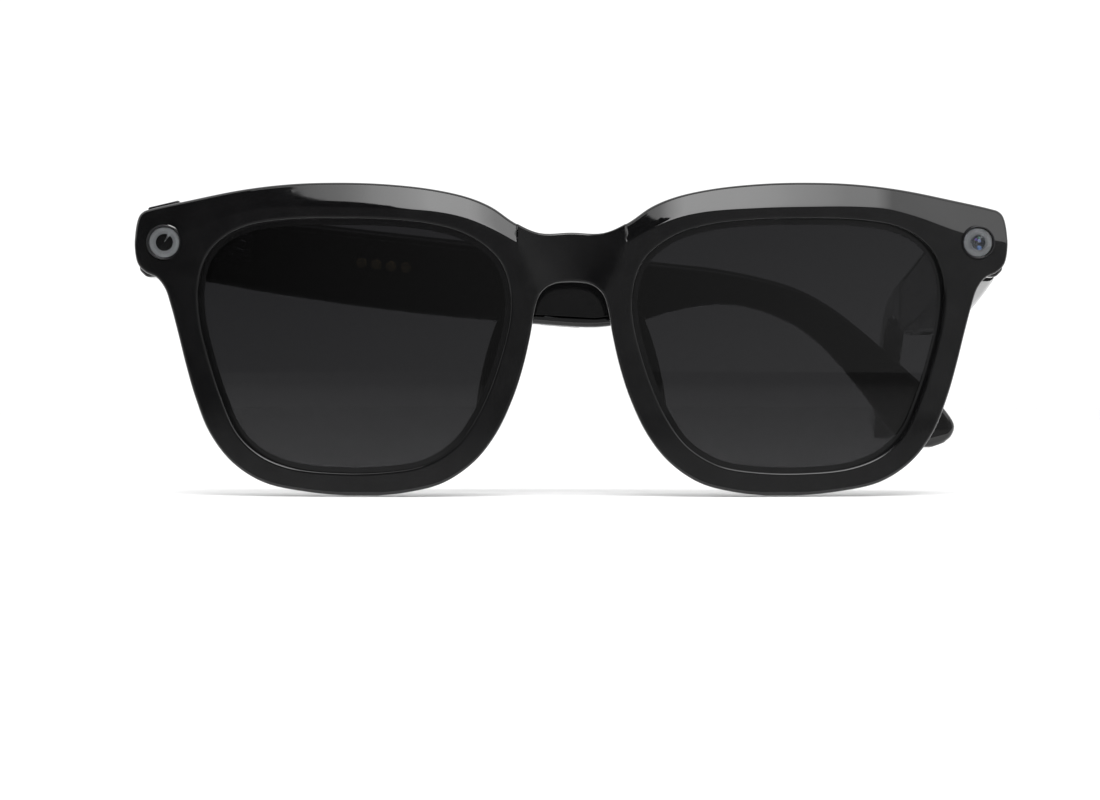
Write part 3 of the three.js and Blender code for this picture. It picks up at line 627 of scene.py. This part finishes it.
def upright(x, low, count):
    """A row of points that goes straight up."""
    return [(x, low + ROW_STEP * i) for i in range(count)]


def crease_lines():
    """Lines for the mesh to follow along the facet's lower edge and its end by the bridge."""
    fine = [spot for spot in catmull(FACET_EDGE, False, 14) if spot[0] > FACET_START + 0.1]
    lines = [[(x, z + offset) for x, z in fine] for offset in CREASE_ROWS]
    lines += [upright(FACET_START - inwards, 41, 29) for inwards in FACET_END_ROWS]
    return lines + [mirrored(line) for line in lines]


def channel_lines():
    """Lines for the mesh to follow along both lips of the channel and its square end."""
    lines = [[] for _ in CHANNEL_ROWS]
    for i, (x, z) in enumerate(BROW):
        x0, z0 = BROW[max(i - 1, 0)]
        x1, z1 = BROW[min(i + 1, len(BROW) - 1)]
        length = math.hypot(x1 - x0, z1 - z0)
        for line, offset in zip(lines, CHANNEL_ROWS):
            spot = (x - offset * (z1 - z0) / length, z + offset * (x1 - x0) / length)
            if 0 < spot[0] < CHANNEL_END:
                line.append(spot)
    lines += [upright(CHANNEL_END + shift, 44.5, 22) for shift in CHANNEL_END_ROWS]
    return lines + [mirrored(line) for line in lines]


def skin(rings, lines, depth):
    """Points and triangles of one face of the front, between its border and its two openings."""
    flat, edges = [], []
    for ring in rings:
        start = len(flat)
        flat += ring
        edges += [(start + i, start + (i + 1) % len(ring)) for i in range(len(ring))]
    gap = nearness(flat)
    for line in lines:
        previous = None
        for spot in line:
            if gap(*spot) > ROW_CLEAR and on_face(rings, *spot):
                if previous is not None:
                    edges.append((previous, len(flat)))
                previous = len(flat)
                flat.append(spot)
            else:
                previous = None
    flat += filler(rings, flat)
    out = delaunay_2d_cdt([Vector(p) for p in flat], edges, [], 0, 1e-6)
    points = [(p.x, depth(p.x, p.y), p.y) for p in out[0]]
    faces = []
    for face in out[2]:
        x = sum(out[0][i].x for i in face) / 3
        z = sum(out[0][i].y for i in face) / 3
        if on_face(rings, x, z):
            faces.append(tuple(face))
    return points, faces


def wall(ring, grow, levels):
    """Strips of quads down the side of a border, from (inset, depth function) pairs."""
    count = len(ring)
    points = []
    for inset, depth in levels:
        points += [(x, depth(x, z), z) for x, z in grown(ring, grow * inset)]
    faces = []
    for r in range(len(levels) - 1):
        for i in range(count):
            j = (i + 1) % count
            faces.append((r * count + i, r * count + j, (r + 1) * count + j, (r + 1) * count + i))
    return points, faces


def fillet_levels(depth, outwards):
    """Quarter-round levels from a face down to its side wall."""
    levels = [(FILLET + MARGIN * share, depth) for share in (1, 0.85, 0.7, 0.55, 0.4, 0.25, 0.12)]
    for step in range(FILLET_STEPS + 1):
        angle = math.radians(90 * step / FILLET_STEPS)
        inset = FILLET * (1 - math.sin(angle))
        drop = FILLET * (1 - math.cos(angle)) * outwards
        levels.append((inset, lambda x, z, d=drop: depth(x, z) + d))
    return levels


def seat_levels():
    """The groove that holds the lens."""
    return [(at, lambda x, z, d=depth: sag(x) + d) for at, depth in (
        (0.0, GROOVE_NEAR), (-GROOVE_REACH, GROOVE_NEAR), (-GROOVE_REACH, GROOVE_FAR), (0.0, GROOVE_FAR))]


def front_body():
    """The rims and the bridge as one closed mesh, before the end pieces are joined to it."""
    points, faces = [], []

    def add(part):
        start = len(points)
        points.extend(part[0])
        faces.extend(tuple(start + i for i in face) for face in part[1])

    inner = FILLET + MARGIN
    rims = [grown(EDGE, -inner), grown(LEFT_EYE, inner), grown(RIGHT_EYE, inner)]
    add(skin(rims, crease_lines(), face_depth))
    add(skin(rims, channel_lines(), rear_depth))
    near, far = fillet_levels(face_depth, 1), fillet_levels(rear_depth, -1)
    add(wall(EDGE, -1, near + far[::-1]))
    for eye in (LEFT_EYE, RIGHT_EYE):
        add(wall(eye, 1, near + seat_levels() + far[::-1]))
    return make("front_frame_fine", points, faces, 40)


def horn_profile():
    """The section of an end piece."""
    return [
        (HORN_INNER, HORN_LOW + 0.8), (HORN_INNER + 0.8, HORN_LOW), (HORN_OUTER - 1.2, HORN_LOW),
        (HORN_OUTER, HORN_LOW + 1.2), (HORN_OUTER, 47.6), (HORN_OUTER - 1.4, 49.0), (HORN_INNER, 50.4),
    ]


def button_frame(points):
    """From the button's own sloping coordinates to the front's."""
    c, s = math.cos(BUTTON_SLOPE), math.sin(BUTTON_SLOPE)
    x, y, z = BUTTON_AT
    return [(x + px * c - pz * s, y + py, z + px * s + pz * c) for px, py, pz in points]


def button_box(name, size, shift):
    points = [(sx * size[0] / 2, sy * size[1] / 2, sz * size[2] / 2 + shift)
              for sx in (-1, 1) for sy in (-1, 1) for sz in (-1, 1)]
    return make(name, button_frame(points), BOX_FACES)


def front_frame():
    """The rims with both end pieces, their pockets, the eye bores and the button well."""
    body = front_body()
    for side, eye in ((-1, CAMERA_EYE), (1, STATUS_EYE)):
        profile = [(side * x, z) for x, z in horn_profile()]
        horn = prism("horn", profile, HORN_FRONT, HORN_BACK)
        soften(horn, 0.5)
        settle(horn)
        combine(body, horn, "UNION", 40)
        xs = sorted((side * (HORN_INNER + HORN_WALL), side * (HORN_OUTER - HORN_WALL)))
        room = block("room", (xs[0], POCKET_FRONT, POCKET_LOW), (xs[1], HORN_BACK + 1, POCKET_HIGH))
        combine(body, room, "DIFFERENCE", 40)
        centre = (side * EYE_X, EYE_DEPTH, EYE_Z)
        radius = eye + BORE_CLEAR
        profile = [(0.001, BORE_FRONT), (radius, BORE_FRONT), (radius, BORE_BACK), (0.001, BORE_BACK)]
        bore = lathe("bore", centre, profile)
        combine(body, bore, "DIFFERENCE", 40)
    combine(body, button_box("well", BUTTON_WELL, WELL_DROP), "DIFFERENCE", 40)
    return finish_piece(body, "front", MATERIALS["frame_gloss"], "frame_gloss", "front_frame")


def lens(name, eye, node):
    """A lens whose two faces curve both ways, from rings that shrink towards its middle."""
    border = grown(eye, LENS_REACH)
    cx = sum(p[0] for p in border) / len(border)
    cz = sum(p[1] for p in border) / len(border)

    def ring(share, base):
        result = []
        for x, z in border:
            px, pz = cx + (x - cx) * share, cz + (z - cz) * share
            result.append((px, sag(px) + base + (pz - cz) ** 2 / LENS_BOW - LENS_SET, pz))
        return result

    shares = [0.02 + 0.98 * i / LENS_RINGS for i in range(LENS_RINGS + 1)]
    rings = [ring(s, LENS_NEAR) for s in shares] + [ring(s, LENS_FAR) for s in reversed(shares)]
    piece = make(name, *loft(rings), 50)
    return finish_piece(piece, "front", MATERIALS["lens_tint"], "lens_tint", node)


def nose_pad(side, name, node):
    """A pad that leans towards the bridge and swells in the middle."""
    rings = []
    for i in range(PAD_LEVELS + 1):
        share = i / PAD_LEVELS
        z = PAD_LOW + PAD_RISE * (0.5 - 0.5 * math.cos(math.pi * share))
        full = math.sin(math.pi * (0.03 + 0.94 * share)) ** 0.7
        centre = PAD_INNER - (z - PAD_LOW) * PAD_LEAN
        near = sag(centre) + THICKNESS + SEAM
        ring = []
        for k in range(PAD_SIDES):
            angle = 2 * math.pi * k / PAD_SIDES
            x = centre + PAD_WIDE * full * math.cos(angle) - PAD_SLANT * full * math.sin(angle)
            ring.append((side * x, near + PAD_DEEP * full * (1 + math.sin(angle)), z))
        rings.append(ring)
    piece = make(name, *loft(rings), 60)
    return finish_piece(piece, "front", MATERIALS["pad_satin"], "pad_satin", node)


def eye_ring(side, radius, name, node):
    """The bezel round an eye, with a rounded lip."""
    inner = radius - RING_LIP
    half = RING_LIP / 2
    lip = [(inner + half + half * math.cos(math.radians(a)), -half - half * math.sin(math.radians(a)))
           for a in range(0, 181, 20)]
    profile = lip + [(inner, 2.4), (radius, 2.4)]
    piece = lathe(name, (side * EYE_X, EYE_DEPTH, EYE_Z), profile)
    return finish_piece(piece, "front", MATERIALS["bezel_dark"], "bezel_dark", node)


def eye_glass(side, radius, name, node):
    """A clear cover with a faint crown."""
    edge = radius - 0.45
    crown = [(edge * s, -0.13 + 0.12 * s * s) for s in (0.001, 0.2, 0.4, 0.6, 0.8, 0.92, 1.0)]
    profile = crown + [(edge, 0.2), (0.001, 0.2)]
    piece = lathe(name, (side * EYE_X, EYE_DEPTH, EYE_Z), profile)
    return finish_piece(piece, "front", MATERIALS["eye_window"], "eye_window", node)


def eye_plate(side, radius, name):
    """The pale plate under the cover, with a hole for what looks out of it."""
    profile = [(1.2, 0.5), (1.24, 0.38), (1.34, 0.3), (1.44, 0.34),
               (radius - 0.5, 0.34), (radius - 0.42, 0.4), (radius - 0.42, 0.62), (1.2, 0.62)]
    piece = lathe(name, (side * EYE_X, EYE_DEPTH, EYE_Z), profile)
    return finish_piece(piece, "front", MATERIALS["eye_plate"], "eye_window")


def barrel(side, name, node, material, slot):
    """Stepped rings that lead down to the iris."""
    profile = [(0.001, 1.0), (0.5, 1.0), (0.56, 0.9), (0.62, 0.92), (0.9, 1.06), (0.96, 0.84), (1.1, 0.78),
               (1.43, 0.8), (1.43, 3.2), (0.001, 3.2)]
    piece = lathe(name, (side * EYE_X, EYE_DEPTH, EYE_Z), profile, 48, 30)
    return finish_piece(piece, "front", MATERIALS[material], slot, node)


def dome(radius, height, angles, rim=0.0):
    """The profile of a small dome from its crown down to its rim, at angles from the crown."""
    return [(radius * math.sin(math.radians(a)), rim - height * math.cos(math.radians(a))) for a in angles]


def camera_iris():
    """The small front element in the middle of the barrel, with a pale grey spot on its crown as a painted
    highlight.
    """
    profile = dome(0.46, 0.2, range(1, 91, 8), 0.95) + [(0.46, 1.1), (0.001, 1.1)]
    piece = lathe("camera_iris", (-EYE_X, EYE_DEPTH, EYE_Z), profile, 32)
    finish_piece(piece, "front", MATERIALS["eye_plate"], "bezel_dark")
    # A pale grey dome on the crown: a painted highlight.
    profile = dome(0.2, 0.07, range(1, 91, 11)) + [(0.2, 0.1), (0.001, 0.1)]
    piece = lathe("camera_painted_highlight", (-EYE_X, EYE_DEPTH + 0.78, EYE_Z), profile, 20)
    finish_piece(piece, "front", MATERIALS["eye_plate"], "eye_window")


def glint(name, x, z, radius, material):
    """A small domed piece under the status cover that glows as a painted glint of light."""
    profile = dome(radius, radius * 0.5, (0.5, 15, 30, 45, 60, 75, 90)) + [(radius, 0.2), (0.001, 0.2)]
    piece = lathe(name, (EYE_X + x, EYE_DEPTH + 0.46, EYE_Z + z), profile, 24)
    return finish_piece(piece, "front", MATERIALS[material], "eye_window")


def eyes():
    eye_ring(-1, CAMERA_EYE, "camera_ring", "camera_bezel")
    eye_glass(-1, CAMERA_EYE, "camera_cover", "camera_window")
    eye_plate(-1, CAMERA_EYE, "camera_plate")
    barrel(-1, "camera_lens_barrel", "camera_barrel", "iris_grey", "bezel_dark")
    camera_iris()
    eye_ring(1, STATUS_EYE, "status_ring", "status_bezel")
    eye_glass(1, STATUS_EYE, "status_cover", "status_window")
    eye_plate(1, STATUS_EYE, "status_plate")
    barrel(1, "status_lamp", "status_light", "eye_plate", "module_black")
    # Four painted glints of coloured light under the status cover.
    glint("status_glint_1", -0.55, 0.62, 0.17, "glint_violet")
    glint("status_glint_2", 0.0, -0.78, 0.36, "glint_blue")
    glint("status_glint_3", 0.0, 0.92, 0.17, "glint_green")
    glint("status_glint_4", 0.0, 0.42, 0.26, "glint_pale")


def capture_button():
    """The cap that stands in the well."""
    cap = button_box("capture_cap", BUTTON_CAP, 0.0)
    soften(cap, 0.35, 4)
    settle(cap)
    smooth(cap, 40)
    return finish_piece(cap, "capture_key", MATERIALS["bezel_dark"], "bezel_dark", "capture_button")


# ---------------------------------------------------------------- temples

def outer_face(u):
    """How far out the temple reaches, which narrows towards its tip."""
    return TEMPLE_OUTER + (TEMPLE_SLIM - TEMPLE_OUTER) * eased((u - NARROW_START) / NARROW_LENGTH)


def section(station, thin=0.0):
    """A rounded section of a temple, as (u, w, z) points."""
    ua, za, ub, zb = station
    height = math.hypot(ua - ub, za - zb)
    inner = TEMPLE_INNER + thin
    outer = outer_face((ua + ub) / 2) - thin
    corner = min(CORNER, (outer - inner) / 2.4, height / 2.4)
    ring = []
    for turn, (across, up) in enumerate([(outer, height), (inner, height), (inner, 0), (outer, 0)]):
        cw = across - corner if across == outer else across + corner
        ch = up - corner if up else corner
        for step in range(6):
            angle = math.radians(90 * turn + 18 * step)
            w = cw + corner * math.cos(angle)
            share = (ch + corner * math.sin(angle)) / height
            ring.append((min(ub + (ua - ub) * share, TIP_END), w, zb + (za - zb) * share))
    return ring


def temple_place(side, points):
    """From a temple's own coordinates to the front's, at rest."""
    if side < 0:
        return [(-PIN_X + u, PIN_Y + w, z) for u, w, z in points]
    return [(PIN_X + w, PIN_Y + u, z) for u, w, z in points]


def temple_make(side, name, rings, sharp=35):
    points, faces = loft(rings)
    return make(name, temple_place(side, points), faces, sharp)


def edges_at(u):
    """The upper and lower edge of a temple shell."""
    body = STATIONS[:TIP_STATION + 1]
    return height_at([(s[0], s[1]) for s in body], u), height_at([(s[2], s[3]) for s in body], u)


def cavity_ring(u, near, far):
    """The section of the hollow in a temple shell."""
    high, low = edges_at(u)
    high, low = high - TEMPLE_WALL, low + TEMPLE_WALL
    return [(u, near, low), (u, near, high), (u, far, high), (u, far, low)]


def along(u, points):
    """Turns points drawn round the temple's middle line to follow its slope."""
    high, low = edges_at(u)
    c, s = math.cos(TEMPLE_SLOPE), math.sin(TEMPLE_SLOPE)
    middle = (high + low) / 2
    return [(u + pu * c + pz * s, w, middle - pu * s + pz * c) for pu, w, pz in points]


def cutter(side, u, low, high):
    """A box that follows the slope of a temple."""
    corners = [(low[1], low[2]), (low[1], high[2]), (high[1], high[2]), (high[1], low[2])]
    rings = [[(pu, w, z) for w, z in corners] for pu in (low[0], high[0])]
    return temple_make(side, "cutter", [along(u, ring) for ring in rings])


def level_cutter(side, name, reach, widths, heights):
    """A box that lies level, from its reach along the temple, its widths and its heights."""
    (near, far), (low, high) = widths, heights
    corners = [(near, low), (near, high), (far, high), (far, low)]
    return temple_make(side, name, [[(u, w, z) for w, z in corners] for u in reach])


def temple_shell(side, name):
    """The outer shell, hollow, with its speaker slot and the hole for the core of the tip."""
    stations = catmull(STATIONS[:TIP_STATION + 1], False, 6)
    ends = (0, len(stations) - 1)
    rings = [section(s, END_RELIEF if i in ends else 0.0) for i, s in enumerate(stations)]
    shell = temple_make(side, f"{name}_shell_fine", rings, 40)
    hollow = [cavity_ring(u, TEMPLE_INNER - 1, TEMPLE_HOLLOW) for u in CAVITY_STOPS]
    combine(shell, temple_make(side, "cavity", hollow), "DIFFERENCE", 40)
    combine(shell, cutter(side, SPEAKER_U, *SPEAKER_SLOT), "DIFFERENCE", 40)
    combine(shell, level_cutter(side, "hole", *CORE_HOLE), "DIFFERENCE", 40)
    body, node = f"{name}_temple", f"{name}_temple_shell"
    return finish_piece(shell, body, MATERIALS["frame_gloss"], "frame_gloss", node)


def charging_contacts():
    """Domed gold pads in the right temple's inner cover."""
    for number in range(1, 5):
        node = f"charging_contact_{number}"
        low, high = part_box(node)
        middle = (low + high) / 2 / MM
        radius = (high.x - low.x) / 2 / MM
        start, depth = low.y / MM - FACE_Y, (high.y - low.y) / MM
        shares = (0.001, 0.2, 0.4, 0.6, 0.75, 0.88, 0.96)
        crown = [(radius * share, 0.10 * share * share) for share in shares]
        profile = crown + [(radius, 0.16), (radius, depth), (0.001, depth)]
        pad = lathe(f"contact_pad_{number}", (middle.x, start, middle.z), profile, 40, 50)
        finish_piece(pad, "right_temple", MATERIALS["contact_gold"], "contact_gold", node)


def temple_tip(side, name):
    """The ear tip, with a collar inside the seam and a socket for its core."""
    first = STATIONS[TIP_STATION]
    stations = [(first[0] + SEAM, first[1], first[2] + SEAM, first[3]), *STATIONS[TIP_STATION + 1:]]
    fine = catmull(stations, False, 7)
    last = len(fine) - 1
    rings = []
    for i, station in enumerate(fine):
        near_end = max(0.0, 1 - (last - i) / TIP_THINNING_RINGS)
        rings.append(section(station, END_RELIEF if i == 0 else TIP_THINNING * near_end**2))
    collar = [(first[0] + 0.02, first[1], first[2] + 0.02, first[3]), stations[0]]
    inset = [section(s, COLLAR_RELIEF) for s in collar]
    tip = temple_make(side, f"{name}_tip_fine", inset + rings, 50)
    combine(tip, level_cutter(side, "socket", *TIP_SOCKET), "DIFFERENCE", 50)
    body, node = f"{name}_temple", f"{name}_temple_tip"
    return finish_piece(tip, body, MATERIALS["frame_gloss"], "frame_gloss", node)


# ---------------------------------------------------------------- carried-over nodes

def dress_nodes():
    """Gives every CAD node that still shows its finish and rounded edges."""
    slots = {row["node"]: row["material_slot"] for row in frame["record"]["subparts"]}
    for name, node in frame["nodes"].items():
        if node.hide_render:
            continue
        material = MATERIALS[slots[name]]
        if node.material_slots:
            for entry in node.material_slots:
                entry.material = material
        else:
            node.data.materials.append(material)
        low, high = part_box(name)
        thinnest = min(high - low) / MM
        soften(node, min(0.25, thinnest * 0.12), 2, 35)


# ---------------------------------------------------------------- studio

def card(name, points, faces, material):
    """A surface of the studio, from points in metres."""
    mesh = bpy.data.meshes.new(name)
    mesh.from_pydata(points, [], faces)
    mesh.materials.append(material)
    piece = bpy.data.objects.new(name, mesh)
    bpy.context.scene.collection.objects.link(piece)
    return piece


def mirrors_only(piece):
    """Hides a card from everything but glossy rays."""
    piece.visible_camera = False
    piece.visible_diffuse = False
    piece.visible_transmission = False
    piece.visible_shadow = False


def emitter(name, points, faces, colour_nodes):
    """A card that glows as its colour nodes say."""
    material = bpy.data.materials.new(name)
    material.use_nodes = True
    tree = material.node_tree
    tree.nodes.clear()
    output = tree.nodes.new("ShaderNodeOutputMaterial")
    emission = tree.nodes.new("ShaderNodeEmission")
    tree.links.new(emission.outputs["Emission"], output.inputs["Surface"])
    colour_nodes(tree, emission)
    return card(name, points, faces, material)


def gradient(tree, emission, axis, start, end, low, high, socket="Strength"):
    """Brightness that runs along one axis of the object."""
    tree.links.new(along_axis(tree, axis, start, end, low, high), emission.inputs[socket])


def dark_tent():
    """A dim half tent in front, which only mirrors see, so that the gloss stays black."""
    radius, rows, columns = TENT_RADIUS, TENT_ROWS, TENT_COLUMNS
    points, faces = [], []
    for r in range(rows + 1):
        elevation = math.radians(-12 + 97 * r / rows)
        for c in range(columns + 1):
            azimuth = math.radians(-80 + 160 * c / columns)
            points.append((radius * math.sin(azimuth) * math.cos(elevation),
                           -radius * math.cos(azimuth) * math.cos(elevation), radius * math.sin(elevation)))
    for r in range(rows):
        for c in range(columns):
            a = r * (columns + 1) + c
            faces.append((a, a + 1, a + columns + 2, a + columns + 1))
    mirrors_only(emitter("tent", points, faces, tent_glow))


def tent_glow(tree, emission):
    """Brighter to the right, and black overhead."""
    gradient(tree, emission, "X", -1.6, 1.8, 0.03, 0.36)
    gradient(tree, emission, "Z", 1.0, 2.2, 1.0, 0.0, "Color")


def dim_apron():
    """The part of the dim tent that lies on the floor in front, brighter towards the glasses."""
    near, far, half, lift = -0.085, -3.0, 3.0, 0.0002
    points = [(-half, far, lift), (half, far, lift), (half, near, lift), (-half, near, lift)]

    def glow(tree, emission):
        gradient(tree, emission, "Y", -1.2, near, 0.16, 0.42)

    mirrors_only(emitter("apron", points, [(0, 1, 2, 3)], glow))


SOFTBOX_GLOW = [
    (-0.5, 0.30), (-0.36, 0.30), (-0.29, 0.42), (-0.22, 0.68), (-0.15, 0.85), (-0.08, 1.0), (0.18, 0.98),
    (0.25, 0.90), (0.31, 0.76), (0.38, 0.62), (0.5, 0.60), (0.65, 0.30), (1.9, 0.28),
]                                        # brightness against x in metres, as the facet shows it


def softbox():
    """The overhead light that the brow facet mirrors, with one corner flagged off."""
    centre = Vector((0.0, -0.62, 1.02))
    up = Vector((0, 0.87, 0.49))
    outline = [(1.9, -0.41), (1.9, 0.41), (-0.62, 0.41), (-0.62, 0.215), (-0.19, 0.0145), (-0.19, -0.41)]
    points = [tuple(centre + Vector((x, 0, 0)) + up * s) for x, s in outline]
    box = emitter("softbox", points, [tuple(range(len(points)))], softbox_glow)
    box.visible_camera = False


def softbox_glow(tree, emission):
    """Brightest in the middle, and dimmer towards both ends."""
    (start, first), (end, last) = SOFTBOX_GLOW[0], SOFTBOX_GLOW[-1]
    glow = tree.nodes.new("ShaderNodeValToRGB")
    stops = glow.color_ramp.elements
    stops[1].color = (last, last, last, 1)
    stops[0].color = (first, first, first, 1)
    for x, value in SOFTBOX_GLOW[1:-1]:
        stops.new((x - start) / (end - start)).color = (value, value, value, 1)
    tree.links.new(along_axis(tree, "X", start, end), glow.inputs["Fac"])
    tree.links.new(glow.outputs["Color"], emission.inputs["Color"])
    emission.inputs["Strength"].default_value = SOFTBOX_STRENGTH


def floor():
    """The pale surface that the glasses stand on."""
    points = [(x * FLOOR_HALF, y * FLOOR_HALF, FLOOR_DROP) for x, y in ((-1, -1), (1, -1), (1, 1), (-1, 1))]
    finish = varied("floor", (0.88, 0.88, 0.88), (0.91, 0.91, 0.91), (0.7, 0.8), 3)
    card("floor", points, [(0, 1, 2, 3)], finish)


def world():
    """A plain white surround, a little over white."""
    sky = bpy.data.worlds.new("studio")
    sky.use_nodes = True
    background = sky.node_tree.nodes["Background"]
    background.inputs["Color"].default_value = (1, 1, 1, 1)
    background.inputs["Strength"].default_value = WORLD_STRENGTH
    bpy.context.scene.world = sky
    bpy.context.scene.view_settings.view_transform = "Standard"


def camera():
    """The point of view, level and straight in front."""
    data = bpy.data.cameras.new("camera")
    data.sensor_width = 36
    data.lens = CAMERA_LENS
    data.clip_start = 0.01
    viewer = bpy.data.objects.new("camera", data)
    bpy.context.scene.collection.objects.link(viewer)
    viewer.location = CAMERA_PLACE
    viewer.rotation_euler = (math.pi / 2, 0, 0)
    bpy.context.scene.camera = viewer


# ---------------------------------------------------------------- assembly

camera()
world()
floor()
dark_tent()
dim_apron()
softbox()

front_frame()
lens("left_lens_fine", LEFT_EYE, "left_lens")
lens("right_lens_fine", RIGHT_EYE, "right_lens")
nose_pad(1, "left_pad", "left_nose_pad")
nose_pad(-1, "right_pad", "right_nose_pad")
eyes()
capture_button()
for side, name in ((-1, "right"), (1, "left")):
    temple_shell(side, name)
    temple_tip(side, name)
charging_contacts()
dress_nodes()
